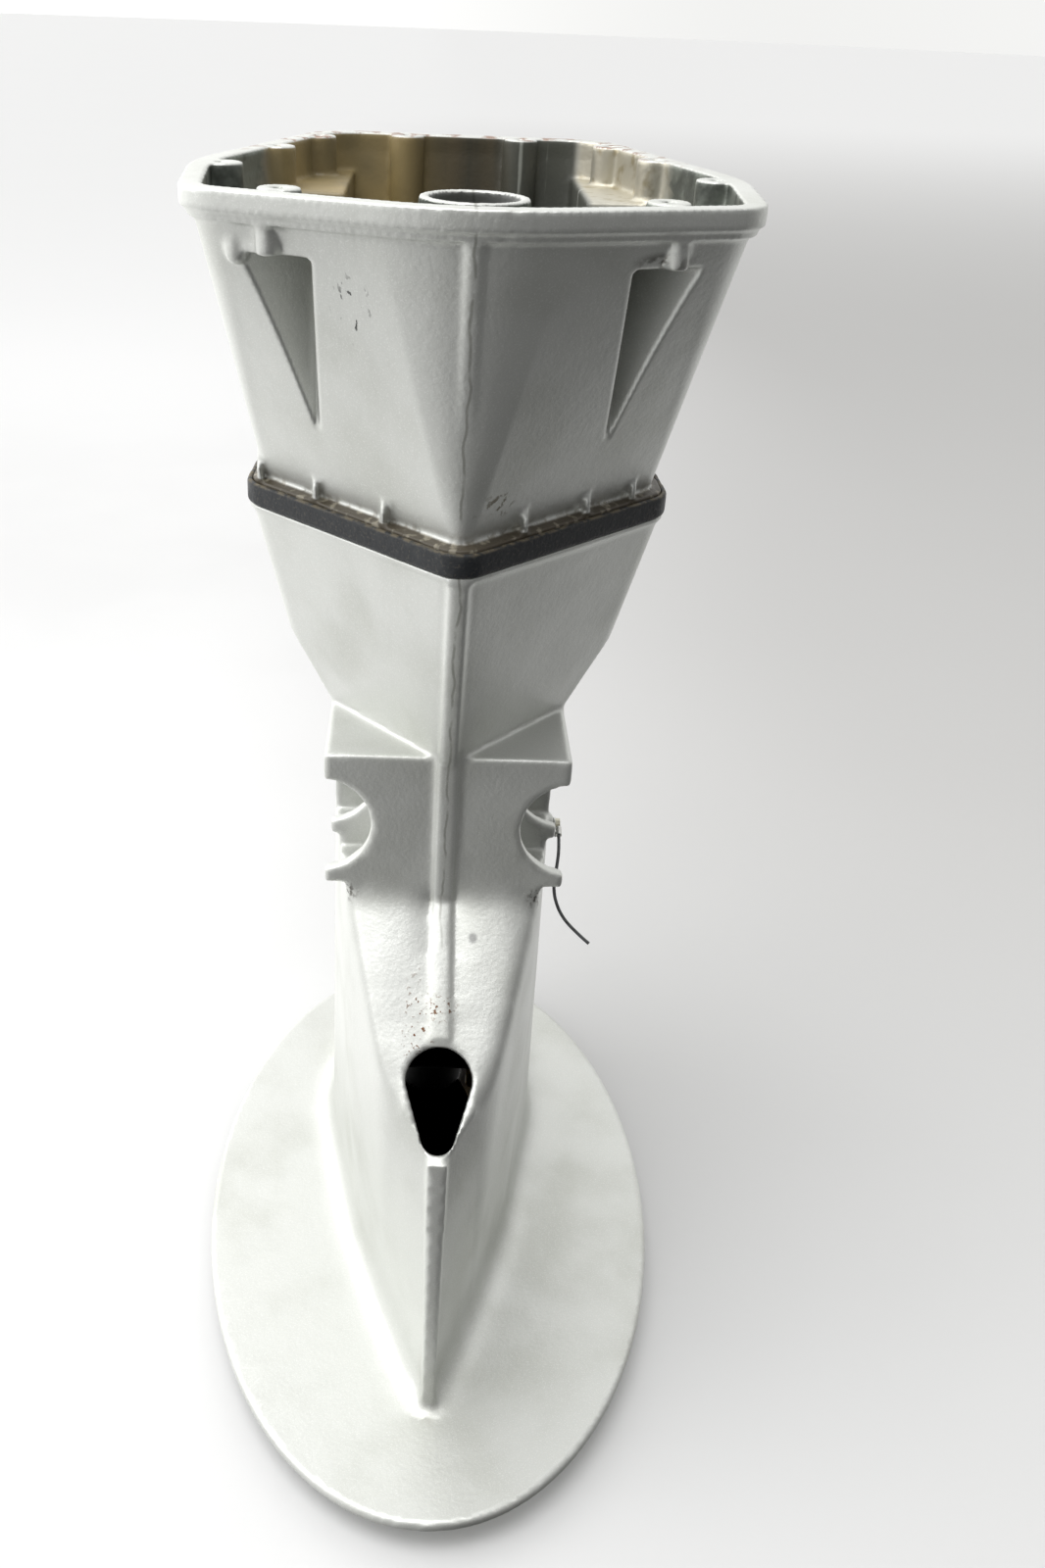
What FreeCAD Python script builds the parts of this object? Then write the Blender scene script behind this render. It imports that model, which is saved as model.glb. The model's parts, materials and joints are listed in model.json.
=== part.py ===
import FreeCAD, Part
import math
import os
import Sketcher
from FreeCAD import Placement, Rotation, Vector

# Drive-shaft housing (midsection) of an outboard motor, in millimetres.
# +Z is up, -Y is the rear (trailing) side, +Y the front, and the part is symmetric about X = 0.
# The origin is the centre of the splash plate's outline, on the surface the part stands on.

SIZES = {
    # heights, stacked upwards from the surface the part stands on
    "spigot_rise": 15,
    "plate_thick": 7,
    "fin_rise": 165,
    "slope_rise": 100,
    "block_gap": 5,
    "block_rise": 80,
    "shoulder_rise": 121.5,
    "gasket_thick": 1,
    "floor_thick": 11.5,
    "case_rise": 138,
    "rim_thick": 9,
    # splash plate and leg
    "plate_length": 490,
    "plate_width": 286,
    "plate_edge_radius": 2.5,
    "root_fillet": 14,
    "wall": 5,
    "fin_rear_low": -175,
    "fin_rear_high": -153,
    "fin_width_low": 8,
    "fin_width_high": 11,
    "fin_depth": 22,
    "slope_foot_y": -151,
    "slope_head_y": -40,
    "keel_width_low": 10,
    "keel_width_high": 6,
    "keel_raise": 3,
    # exhaust outlet in the sloped face
    "outlet_foot": 4,
    "outlet_length": 57,
    "outlet_radius": 17.75,
    "outlet_tip_radius": 9,
    # lower mount block
    "block_half": 66,
    "block_rear": -45,
    "block_front": 60,
    "block_edge_radius": 3,
    "pocket_centre_x": 69,
    "pocket_centre_rise": 36.5,
    "pocket_radius": 28.5,
    "rib_thick": 8,
    "rib_gap": 44,
    "pocket_back_y": 50,
    "relief_x": 36,
    "relief_drop": 8,
    "relief_roof": 8,
    # shoulder and joint to the oil case
    "shoulder_chamfer": 0.55,
    "lip_rise": 3,
    "lip_proud": 1.2,
    "joint_flange_width": 32,
    "joint_flange_thick": 10,
    "strip_rise": 11.5,
    "strip_proud": 1,
    "strip_lap": 2,
    "strip_cover": 6.4,
    "case_foot_inset": 8,
    "joint_boss_radius": 9,
    "joint_boss_rise": 24,
    # oil case rim
    "rim_overhang": 5,
    "under_lip_inset": 3,
    "under_lip_rise": 4,
    "rim_hole_radius": 3.4,
    "rim_hole_depth": 22,
    "rim_boss_radius": 9.5,
    "rim_boss_rise": 40,
    "rim_rear_bolt_x": 80,
    "rim_rear_bolt_y": -80,
    "rim_front_bolt_y": 150,
    "rim_side_bolt_x": 114,
    "rim_side_bolt_y": 5,
    "rim_flank_bolt_x": 97,
    "rim_flank_bolt_y": 88,
    "rim_nose_bolt_x": 32,
    "rim_nose_bolt_y": 172,
    # drawn recesses at the rear corners of the oil case
    "recess_x": 66,
    "recess_back_y": -50,
    "recess_roof_drop": 16,
    "recess_far_x": 130,
    "pillar_x": 84,
    "pillar_y": -91,
    "pillar_radius": 5,
    "lug_x": 98,
    "lug_y": -80,
    "lug_drop": 22,
    "lug_web": 3,
    "gusset_width": 2.5,
    "gusset_rise": 15,
    # shelves inside the front corners
    "shelf_x": 62,
    "shelf_y": 77,
    "shelf_drop": 20,
    "shelf_rise": 40,
    # exhaust passage and pipe
    "passage_top_y": -87,
    "passage_foot_y": -10,
    "passage_bore": 18.5,
    "passage_wall": 4.5,
    "exhaust_pipe_outer": 19,
    "exhaust_pipe_wall": 2.5,
    "exhaust_pipe_length": 300,
    "exhaust_flange_radius": 33,
    "exhaust_flange_thick": 6,
    "exhaust_bolt_circle": 26,
    "exhaust_bolt_radius": 3,
    "exhaust_bolt_depth": 8,
    "exhaust_bolt_count": 3,
    # drive-shaft tunnel
    "tunnel_y": 140,
    "tunnel_bore": 18,
    "tunnel_wall": 6,
    "tunnel_rise": 94,
    "bush_bore": 11.5,
    "bush_length": 24,
    "bush_bottom": 60,
    "ring_thick": 2.5,
    "ring_bore": 14,
    "seal_bore": 11,
    "seal_thick": 8,
    # water tube
    "tube_gap": 2.5,
    "tube_y": 118,
    "tube_outer": 7,
    "tube_inner": 6,
    "tube_bottom": 8,
    "tube_top_drop": 41,
    "grommet_radius": 11,
    "grommet_lip": 3,
    "grommet_lip_thick": 2,
    "web_bottom": 36,
    "web_thick": 6,
    # joint fasteners
    "bolt_radius": 4,
    "bolt_head_flats": 12,
    "bolt_head_rise": 6.5,
    "bolt_flange_radius": 8.5,
    "bolt_flange_thick": 1.5,
    "bolt_grip": 16,
    "dowel_radius": 4,
    "dowel_length": 14,
    "dowel_x": 86,
    "dowel_y": 52,
    # oil drain
    "drain_x": -36,
    "drain_rise": 28,
    "drain_radius": 6,
    "drain_head_radius": 9.5,
    "drain_head_rise": 7,
    "drain_washer_thick": 1.5,
    "drain_washer_radius": 10.5,
    "drain_boss_radius": 13,
    "drain_boss_proud": 4,
    "drain_length": 14,
    # gearcase face
    "gearcase_bolt_x": 42,
    "gearcase_rear_y": -10,
    "gearcase_front_y": 95,
    "gearcase_hole_radius": 4.25,
    "gearcase_hole_depth": 18,
    "gearcase_boss_radius": 11,
    # bonding lead, its terminal and its screw on the right flank
    "lead_face_x": 69,
    "lead_y": 50,
    "lead_z": 276,
    "lead_radius": 1,
    "lead_boss_radius": 6.5,
    "terminal_thick": 0.8,
    "terminal_radius": 4.8,
    "barrel_radius": 1.9,
    "barrel_length": 6,
    "lead_screw_radius": 2.5,
    "lead_screw_head": 4.2,
    "lead_screw_head_rise": 3,
    "lead_screw_length": 9,
}

# Outlines of the right half, from the rear apex on the centre plane to the front.
# Each corner is x, y and the radius that rounds it.
OUTLINES = {
    "rim": [(0, -132, 120), (121, -88, 25), (130, 10, 150), (81, 186, 35)],
    "joint": [(0, -105, 14), (107, -1, 20), (104, 65, 120), (84, 172, 35)],
    "shoulder_foot": [(0, -52, 10), (82, 39, 15), (80, 84, 60), (68, 165, 30)],
    "leg_foot": [(0, -178, 3), (25, -106, 150), (46, -41, 200), (70, 70, 120), (62, 150, 60), (28, 192, 25)],
    "leg_middle": [(0, -154, 3), (31, -116, 60), (53, -41, 200), (68, 65, 120), (60, 145, 60), (27, 184, 25)],
    "leg_head": [(0, -150, 3), (38, -118, 60), (57, -41, 200), (66, 60, 120), (58, 130, 50), (30, 165, 25)],
}

# Places of the bolts that hold the oil case to the leg casting, on the right half.
JOINT_BOLTS = [(56, -19), (82, 25), (77, 85), (58, 145)]

# Places of the small gussets above the rubber strip: across, on both sides.
GUSSETS = [-100, -70, -36, 30, 62, 87]

# Route of the bonding lead, from the terminal's barrel to its bare end.
LEAD_ROUTE = [
    (71.4, 38, 276),
    (71.2, 27, 272.5),
    (69.4, 18, 264),
    (67.6, 11, 253.5),
    (71.4, 5, 242.5),
    (79, 0, 234),
    (90, -6, 227),
]

MINIMUM_CORNER = 0.6
MARGIN = 1.0
ARC_SHARE = 0.45

doc = FreeCAD.newDocument("midsection")


# ---------------------------------------------------------------- driving sizes

def write_sheet():
    """Puts every size and outline corner into the sheet, each with its alias."""
    page = doc.addObject("Spreadsheet::Sheet", "Sizes")
    cells = dict(SIZES)
    for outline, corners in OUTLINES.items():
        for number, (x, y, radius) in enumerate(corners):
            cells[f"{outline}_corner{number}_x"] = x
            cells[f"{outline}_corner{number}_y"] = y
            cells[f"{outline}_corner{number}_radius"] = radius
    for number, (x, y) in enumerate(JOINT_BOLTS):
        cells[f"joint_bolt{number}_x"] = x
        cells[f"joint_bolt{number}_y"] = y
    for number, x in enumerate(GUSSETS):
        cells[f"gusset{number}_x"] = x
    for row, (alias, value) in enumerate(cells.items(), start=1):
        page.set(f"A{row}", alias)
        page.set(f"B{row}", str(value))
        page.setAlias(f"B{row}", alias)
    return page


sheet = write_sheet()
doc.recompute()


def size(alias):
    return float(getattr(sheet, alias))


def outline(name):
    corners = []
    for number in range(len(OUTLINES[name])):
        stem = f"{name}_corner{number}_"
        corners.append((size(stem + "x"), size(stem + "y"), size(stem + "radius")))
    return corners


# heights of the faces that the pieces share
Z_PLATE_UNDER = size("spigot_rise")
Z_PLATE = Z_PLATE_UNDER + size("plate_thick")
Z_SLOPE_FOOT = Z_PLATE + size("fin_rise")
Z_SLOPE_HEAD = Z_SLOPE_FOOT + size("slope_rise")
Z_BLOCK = Z_SLOPE_HEAD + size("block_gap")
Z_SHOULDER = Z_BLOCK + size("block_rise")
Z_JOINT = Z_SHOULDER + size("shoulder_rise")
Z_CASE = Z_JOINT + size("gasket_thick")
Z_FLOOR = Z_CASE + size("floor_thick")
Z_RIM_UNDER = Z_FLOOR + size("case_rise")
Z_RIM = Z_RIM_UNDER + size("rim_thick")
Z_TUNNEL_TOP = Z_FLOOR + size("tunnel_rise")

# the water tube stands beside the drive-shaft tunnel, with tube_gap between its grommets and the tunnel's wall
TUBE_REACH = (
    size("tunnel_bore") + size("tunnel_wall") + size("tube_gap") + size("grommet_radius") + size("grommet_lip")
)
TUBE_X = math.sqrt(TUBE_REACH ** 2 - (size("tunnel_y") - size("tube_y")) ** 2)


# ---------------------------------------------------------------- outlines and skins

def mirrored(corners):
    """The whole outline, clockwise from the rear apex, for the corners of its right half."""
    apex = [corner for corner in corners if corner[0] == 0]
    right = [corner for corner in corners if corner[0] > 0]
    left = [(-x, y, radius) for x, y, radius in reversed(right)]
    return apex + right + left


def line_offset(first, second, distance):
    """A point and a direction of the line first-second moved inwards (to its left) by distance."""
    dx = second[0] - first[0]
    dy = second[1] - first[1]
    length = math.hypot(dx, dy)
    return (first[0] - dy / length * distance, first[1] + dx / length * distance), (dx / length, dy / length)


def inset(corners, distance):
    """The outline moved inwards by distance, or outwards where distance is negative."""
    moved = []
    count = len(corners)
    for index, corner in enumerate(corners):
        before, before_way = line_offset(corners[index - 1], corner, distance)
        after, after_way = line_offset(corner, corners[(index + 1) % count], distance)
        cross = before_way[0] * after_way[1] - before_way[1] * after_way[0]
        reach = ((after[0] - before[0]) * after_way[1] - (after[1] - before[1]) * after_way[0]) / cross
        x = before[0] + before_way[0] * reach
        y = before[1] + before_way[1] * reach
        moved.append((x, y, max(corner[2] - distance, MINIMUM_CORNER)))
    return moved


def rounded_wire(corners, height):
    """A closed wire of one line and one arc for each corner."""
    arcs = []
    count = len(corners)
    for index, (x, y, radius) in enumerate(corners):
        point = Vector(x, y, height)
        back = Vector(corners[index - 1][0] - x, corners[index - 1][1] - y, 0).normalize()
        ahead = Vector(corners[(index + 1) % count][0] - x, corners[(index + 1) % count][1] - y, 0).normalize()
        half_turn = (math.pi - back.getAngle(ahead)) / 2
        reach = radius * math.tan(half_turn)
        middle_reach = radius / math.cos(half_turn) - radius
        middle = point + (back + ahead).normalize() * middle_reach
        arcs.append((point + back * reach, middle, point + ahead * reach))
    edges = []
    for index, (start, middle, end) in enumerate(arcs):
        edges.append(Part.Arc(start, middle, end).toShape())
        edges.append(Part.LineSegment(end, arcs[(index + 1) % count][0]).toShape())
    return Part.Wire(edges)


def whole(name, distance=0.0):
    return inset(mirrored(outline(name)), distance)


def prism(corners, bottom, top):
    return Part.Face(rounded_wire(corners, bottom)).extrude(Vector(0, 0, top - bottom))


def skin(sections):
    """A ruled solid through (corners, height) sections, from the lowest to the highest."""
    wires = [rounded_wire(corners, height) for corners, height in sections]
    return Part.makeLoft(wires, True, True)


# ---------------------------------------------------------------- plain solids

def box(x_range, y_range, z_range):
    spans = [high - low for low, high in (x_range, y_range, z_range)]
    return Part.makeBox(*spans, Vector(x_range[0], y_range[0], z_range[0]))


def post(x, y, radius, bottom, top):
    return Part.makeCylinder(radius, top - bottom, Vector(x, y, bottom))


def slab(points, bottom, top):
    """An upright prism over a polygon of (x, y) points."""
    face = Part.Face(Part.makePolygon([Vector(x, y, bottom) for x, y in points + points[:1]]))
    return face.extrude(Vector(0, 0, top - bottom))


def profile(points, x_low, x_high):
    """A prism across the part over a polygon of (y, z) points."""
    face = Part.Face(Part.makePolygon([Vector(x_low, y, z) for y, z in points + points[:1]]))
    return face.extrude(Vector(x_high - x_low, 0, 0))


def mirror(shape):
    return shape.mirror(Vector(0, 0, 0), Vector(1, 0, 0))


def both_sides(shape):
    return [shape, mirror(shape)]


def slope_z(y):
    """Height of the sloped rear face at a place along the part."""
    rise = size("slope_rise") / (size("slope_head_y") - size("slope_foot_y"))
    return Z_SLOPE_FOOT + (y - size("slope_foot_y")) * rise


SLOPE_ANGLE = math.atan2(size("slope_rise"), size("slope_head_y") - size("slope_foot_y"))


def behind_slope(depth, wall_y, ceiling):
    """Everything that lies outside the sloped face moved in by depth, and behind the wall above it."""
    drop = depth / math.cos(SLOPE_ANGLE)
    far_y = -size("plate_length")
    points = [(far_y, slope_z(far_y) - drop), (wall_y, slope_z(wall_y) - drop), (wall_y, ceiling), (far_y, ceiling)]
    reach = size("plate_width")
    return profile(points, -reach, reach)


# ---------------------------------------------------------------- named sub-parts

nodes = {}


def keep(feature, label):
    feature.Label = label
    nodes[label] = feature
    return feature


def shape_feature(label, shape):
    feature = doc.addObject("Part::Feature", label)
    feature.Shape = shape
    feature.Placement = Placement()
    return keep(feature, label)


def bind(thing, path, expression):
    thing.setExpression(path, expression)


def padded_body(label, layers):
    """A body of round or hexagonal pads, each (outer, inner or None, bottom, height, flats or None)."""
    body = doc.addObject("PartDesign::Body", label)
    plane = [item for item in body.Origin.OriginFeatures if item.Role == "XY_Plane"][0]
    for number, (outer, inner, bottom, height, flats) in enumerate(layers):
        sketch = body.newObject("Sketcher::SketchObject", f"{label}_sketch{number}")
        sketch.AttachmentSupport = (plane, [""])
        sketch.MapMode = "FlatFace"
        bind(sketch, "AttachmentOffset.Base.z", bottom)
        if flats:
            add_hexagon(sketch, flats)
        else:
            add_circle(sketch, outer)
        if inner:
            add_circle(sketch, inner)
        pad = body.newObject("PartDesign::Pad", f"{label}_pad{number}")
        pad.Profile = sketch
        bind(pad, "Length", height)
    return body


def add_circle(sketch, radius):
    index = sketch.addGeometry(Part.Circle(Vector(0, 0, 0), Vector(0, 0, 1), 1), False)
    sketch.addConstraint(Sketcher.Constraint("Coincident", index, 3, -1, 1))
    rule = sketch.addConstraint(Sketcher.Constraint("Radius", index, 1))
    bind(sketch, f"Constraints[{rule}]", radius)


def add_hexagon(sketch, flats):
    """Six equal sides round the origin, with two of them across the given distance."""
    corners = [Vector(math.cos(math.radians(60 * k)), math.sin(math.radians(60 * k)), 0) for k in range(6)]
    for k in range(6):
        sketch.addGeometry(Part.LineSegment(corners[k], corners[(k + 1) % 6]), False)
    guide = sketch.addGeometry(Part.Circle(Vector(0, 0, 0), Vector(0, 0, 1), 1), True)
    sketch.addConstraint(Sketcher.Constraint("Coincident", guide, 3, -1, 1))
    for k in range(6):
        sketch.addConstraint(Sketcher.Constraint("Coincident", k, 2, (k + 1) % 6, 1))
        sketch.addConstraint(Sketcher.Constraint("PointOnObject", k, 1, guide))
    for k in range(5):
        sketch.addConstraint(Sketcher.Constraint("Equal", k, k + 1))
    sketch.addConstraint(Sketcher.Constraint("PointOnObject", 0, 1, -1))
    rule = sketch.addConstraint(Sketcher.Constraint("Radius", guide, 1))
    bind(sketch, f"Constraints[{rule}]", f"{flats} / sqrt(3)")


def place(body, x, y, z):
    for letter, expression in (("x", x), ("y", y), ("z", z)):
        bind(body, f"Placement.Base.{letter}", str(expression))


def copies(label, template, placements):
    """One node of separate solids: the template's solid at each placement."""
    solids = []
    for placement in placements:
        solid = template.Shape.copy()
        solid.Placement = placement
        solids.append(solid)
    return shape_feature(label, Part.makeCompound(solids))


# ---------------------------------------------------------------- bolt places

def pairs(x, y):
    return [(x, y), (-x, y)]


def joint_bolt_places():
    places = []
    for number in range(len(JOINT_BOLTS)):
        places += pairs(size(f"joint_bolt{number}_x"), size(f"joint_bolt{number}_y"))
    return places


def rim_bolt_places():
    places = pairs(size("rim_rear_bolt_x"), size("rim_rear_bolt_y"))
    places += pairs(size("rim_rear_bolt_x"), size("rim_front_bolt_y"))
    places += pairs(size("rim_side_bolt_x"), size("rim_side_bolt_y"))
    places += pairs(size("rim_flank_bolt_x"), size("rim_flank_bolt_y"))
    places += pairs(size("rim_nose_bolt_x"), size("rim_nose_bolt_y"))
    return places


def gearcase_bolt_places():
    rear = pairs(size("gearcase_bolt_x"), size("gearcase_rear_y"))
    return rear + pairs(size("gearcase_bolt_x"), size("gearcase_front_y"))


def exhaust_bolt_places():
    count = int(size("exhaust_bolt_count"))
    reach = size("exhaust_bolt_circle")
    places = []
    for number in range(count):
        angle = 2 * math.pi * number / count + math.pi / 2
        places.append((reach * math.cos(angle), size("passage_foot_y") + reach * math.sin(angle)))
    return places


# ---------------------------------------------------------------- leg casting

def leg_skin(distance, bottom):
    """The leg's outer skin, or its inner one for a positive distance."""
    foot = whole("leg_foot", distance)
    middle = whole("leg_middle", distance)
    head = whole("leg_head", distance)
    return skin([(foot, bottom), (foot, Z_PLATE), (middle, Z_SLOPE_FOOT), (head, Z_SHOULDER)])


def side_limits(half_width):
    """Keeps the shoulder inside the planes that narrow it down to the block."""
    rise = size("shoulder_rise")
    spread = half_width + rise * size("shoulder_chamfer")
    reach = size("plate_length")
    section = [(-half_width, Z_SHOULDER), (half_width, Z_SHOULDER), (spread, Z_JOINT), (-spread, Z_JOINT)]
    face = Part.Face(Part.makePolygon([Vector(x, -reach, z) for x, z in section + section[:1]]))
    return face.extrude(Vector(0, 2 * reach, 0))


def splash_plate():
    half_length = size("plate_length") / 2
    half_width = size("plate_width") / 2
    long_end = Vector(0, half_length, Z_PLATE_UNDER)
    short_end = Vector(half_width, 0, Z_PLATE_UNDER)
    edge = Part.Ellipse(long_end, short_end, Vector(0, 0, Z_PLATE_UNDER)).toShape()
    plate = Part.Face(Part.Wire([edge])).extrude(Vector(0, 0, size("plate_thick")))
    rims = [rim for rim in plate.Edges if rim.Length > size("plate_length")]
    return plate.makeFillet(size("plate_edge_radius"), rims)


def leg_on_plate():
    """Leg and plate as one casting, with the root fillet round the leg."""
    foot = leg_skin(0, 0)
    foot = foot.cut(behind_slope(0, size("block_rear"), Z_SHOULDER + MARGIN))
    joined = foot.fuse(splash_plate()).removeSplitter()
    root = []
    for edge in joined.Edges:
        box_of_edge = edge.BoundBox
        flat = abs(box_of_edge.ZMin - Z_PLATE) < 0.01 and abs(box_of_edge.ZMax - Z_PLATE) < 0.01
        inside = box_of_edge.YMax < size("plate_length") / 2 - 20 and box_of_edge.YMin > -size("plate_length") / 2 + 20
        if flat and inside and abs(edge.CenterOfMass.x) < size("plate_width") / 2 - 20:
            root.append(edge)
    return joined.makeFillet(size("root_fillet"), root)


def fin():
    """Flat-backed rib along the leg's trailing edge, ending at the foot of the sloped face."""
    sections = []
    for height, rear, width in (
        (Z_PLATE, size("fin_rear_low"), size("fin_width_low")),
        (Z_SLOPE_FOOT, size("fin_rear_high"), size("fin_width_high")),
    ):
        half = width / 2
        front = rear + size("fin_depth")
        ring = [(-half, rear), (half, rear), (half, front), (-half, front), (-half, rear)]
        sections.append(Part.makePolygon([Vector(x, y, height) for x, y in ring]))
    return Part.makeLoft(sections, True, True)


def mount_block():
    block = box(
        (-size("block_half"), size("block_half")),
        (size("block_rear"), size("block_front")),
        (Z_BLOCK, Z_SHOULDER),
    )
    rear_edges = []
    for edge in block.Edges:
        spot = edge.CenterOfMass
        if abs(spot.y - size("block_rear")) < 0.01 and abs(spot.z - Z_SHOULDER) < 0.01:
            rear_edges.append(edge)
    return block.makeFillet(size("block_edge_radius"), rear_edges)


def pocket_cuts():
    """Half-round seats of the lower mounts, with the reliefs between and ahead of their ribs."""
    rear = size("block_rear")
    centre_z = Z_BLOCK + size("pocket_centre_rise")
    length = size("pocket_back_y") - rear + MARGIN
    start = Vector(size("pocket_centre_x"), rear - MARGIN, centre_z)
    seat = Part.makeCylinder(size("pocket_radius"), length, start, Vector(0, 1, 0))
    across = (size("relief_x"), size("block_half") + 5 * MARGIN)
    upright = (Z_BLOCK - size("relief_drop"), Z_SHOULDER - size("relief_roof"))
    gap_start = rear + size("rib_thick")
    gap_end = gap_start + size("rib_gap")
    gap = box(across, (gap_start, gap_end), upright)
    hollow = box(across, (gap_end + size("rib_thick"), size("pocket_back_y")), upright)
    return both_sides(seat) + both_sides(gap) + both_sides(hollow)


def pocket_guards():
    """Solid kept round the mount pockets where the leg is hollow."""
    wall = size("wall")
    guard = box(
        (size("relief_x") - wall, size("plate_width") / 2),
        (size("block_rear") - MARGIN, size("pocket_back_y") + wall),
        (Z_BLOCK - size("relief_drop") - wall, Z_SHOULDER),
    )
    return both_sides(guard)


def shoulder():
    foot = whole("shoulder_foot")
    head = whole("joint", size("lip_proud"))
    solid = skin([(foot, Z_SHOULDER), (head, Z_JOINT)]).common(side_limits(size("block_half")))
    return solid.fuse(prism(whole("joint"), Z_JOINT - size("lip_rise"), Z_JOINT))


def shoulder_cavity():
    wall = size("wall")
    top = Z_JOINT - size("joint_flange_thick")
    foot = whole("shoulder_foot", wall)
    head = whole("joint", size("lip_proud") + wall)
    full = skin([(foot, Z_SHOULDER - MARGIN), (head, Z_JOINT)])
    below_flange = full.common(prism(whole("joint"), Z_SHOULDER - MARGIN, top))
    below_flange = below_flange.common(side_limits(size("block_half") - wall))
    mouth = prism(whole("joint", size("joint_flange_width")), top - MARGIN, Z_JOINT + MARGIN)
    return below_flange.fuse(mouth)


def ledge_roof():
    """Solid top of the block, outside the shoulder's own hollow."""
    bottom = Z_SHOULDER - size("relief_roof")
    half = size("block_half")
    roof = box((-half, half), (size("block_rear"), size("block_front")), (bottom, Z_SHOULDER))
    return roof.cut(prism(whole("shoulder_foot", size("wall")), bottom - MARGIN, Z_SHOULDER + MARGIN))


def leg_cavity():
    wall = size("wall")
    inner = leg_skin(wall, -MARGIN)
    inner = inner.cut(behind_slope(wall, size("block_rear") + wall, Z_SHOULDER + MARGIN))
    return cut_all(inner, pocket_guards() + [ledge_roof()])


def outlet_cut():
    """Teardrop through the sloped wall, round end up."""
    big = size("outlet_radius")
    tip = size("outlet_tip_radius")
    low = size("outlet_foot") + tip
    high = size("outlet_foot") + size("outlet_length") - big
    lean = math.asin((big - tip) / (high - low))
    side = Vector(math.cos(lean), -math.sin(lean), 0)
    flip = Vector(-side.x, side.y, 0)
    low_centre = Vector(0, low, 0)
    high_centre = Vector(0, high, 0)
    edges = [
        Part.Arc(low_centre + flip * tip, low_centre - Vector(0, tip, 0), low_centre + side * tip).toShape(),
        Part.LineSegment(low_centre + side * tip, high_centre + side * big).toShape(),
        Part.Arc(high_centre + side * big, high_centre + Vector(0, big, 0), high_centre + flip * big).toShape(),
        Part.LineSegment(high_centre + flip * big, low_centre + flip * tip).toShape(),
    ]
    depth = 4 * size("wall")
    cutter = Part.Face(Part.Wire(edges)).extrude(Vector(0, 0, 2 * depth))
    cutter.translate(Vector(0, 0, -depth))
    tilt = Rotation(Vector(1, 0, 0), math.degrees(SLOPE_ANGLE))
    cutter.Placement = Placement(Vector(0, size("slope_foot_y"), Z_SLOPE_FOOT), tilt).multiply(cutter.Placement)
    return cutter


def leg_keels():
    """Centre rib down the shoulder, the block's face and the sloped face to above the outlet."""
    raised = size("keel_raise")
    buried = size("wall") - MARGIN
    half = size("keel_width_low") / 2
    top_y = mirrored(outline("joint"))[0][1] + keel_apex("joint")
    foot_y = mirrored(outline("shoulder_foot"))[0][1] + keel_apex("shoulder_foot")
    rear = size("block_rear")
    outlet_end = (size("outlet_foot") + size("outlet_length") + 2 * MARGIN) * math.cos(SLOPE_ANGLE)
    low_y = size("slope_foot_y") + outlet_end
    above = raised / math.cos(SLOPE_ANGLE)
    points = [
        (top_y, Z_JOINT - size("lip_rise")),
        (foot_y - raised, Z_SHOULDER),
        (rear - raised, Z_SHOULDER - raised),
        (rear - raised, slope_z(rear - raised) + above),
        (low_y, slope_z(low_y) + above / 2),
        (low_y, slope_z(low_y) - buried),
        (rear + buried, slope_z(rear + buried) - buried),
        (rear + buried, Z_SHOULDER),
        (top_y + 2 * buried, Z_JOINT - size("lip_rise")),
    ]
    return profile(points, -half, half)


def keel_apex(name):
    """How far the rounding moves an outline's rear apex inwards."""
    first, second = outline(name)[:2]
    turn = math.atan2(second[1] - first[1], second[0])
    return first[2] / math.cos(turn) - first[2]


def tunnel_post(bottom, top, radius):
    return post(0, size("tunnel_y"), radius, bottom, top)


def leg_inside_solids():
    """Tunnel, tube web, and bosses that stand inside the hollow leg."""
    outer = size("tunnel_bore") + size("tunnel_wall")
    solids = [tunnel_post(0, Z_JOINT, outer)]
    web_top = size("web_bottom") + size("web_thick")
    web = prism(whole("leg_foot", size("wall") - MARGIN), size("web_bottom"), web_top)
    solids.append(web.common(box((-100, 100), (size("tube_y") - 24, size("plate_length")), (0, web_top))))
    boss_bottom = Z_JOINT - size("joint_boss_rise")
    for x, y in joint_bolt_places():
        solids.append(post(x, y, size("joint_boss_radius"), boss_bottom, Z_JOINT))
    for x, y in gearcase_bolt_places():
        wall_side = math.copysign(size("gearcase_boss_radius") * 2.4, x)
        low, high = sorted((x, x + wall_side))
        radius = size("gearcase_boss_radius")
        height = size("gearcase_hole_depth") + size("wall")
        solids.append(post(x, y, radius, 0, height))
        solids.append(box((low, high), (y - radius / 2, y + radius / 2), (0, height)))
    inside = leg_skin(size("wall") / 2, 0)
    room = inside.fuse(shoulder())
    return [solid.common(room) for solid in solids]


def lead_boss():
    face = size("lead_face_x")
    centre = Vector(face - 14, size("lead_y"), size("lead_z"))
    return Part.makeCylinder(size("lead_boss_radius"), 14, centre, Vector(1, 0, 0))


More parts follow.
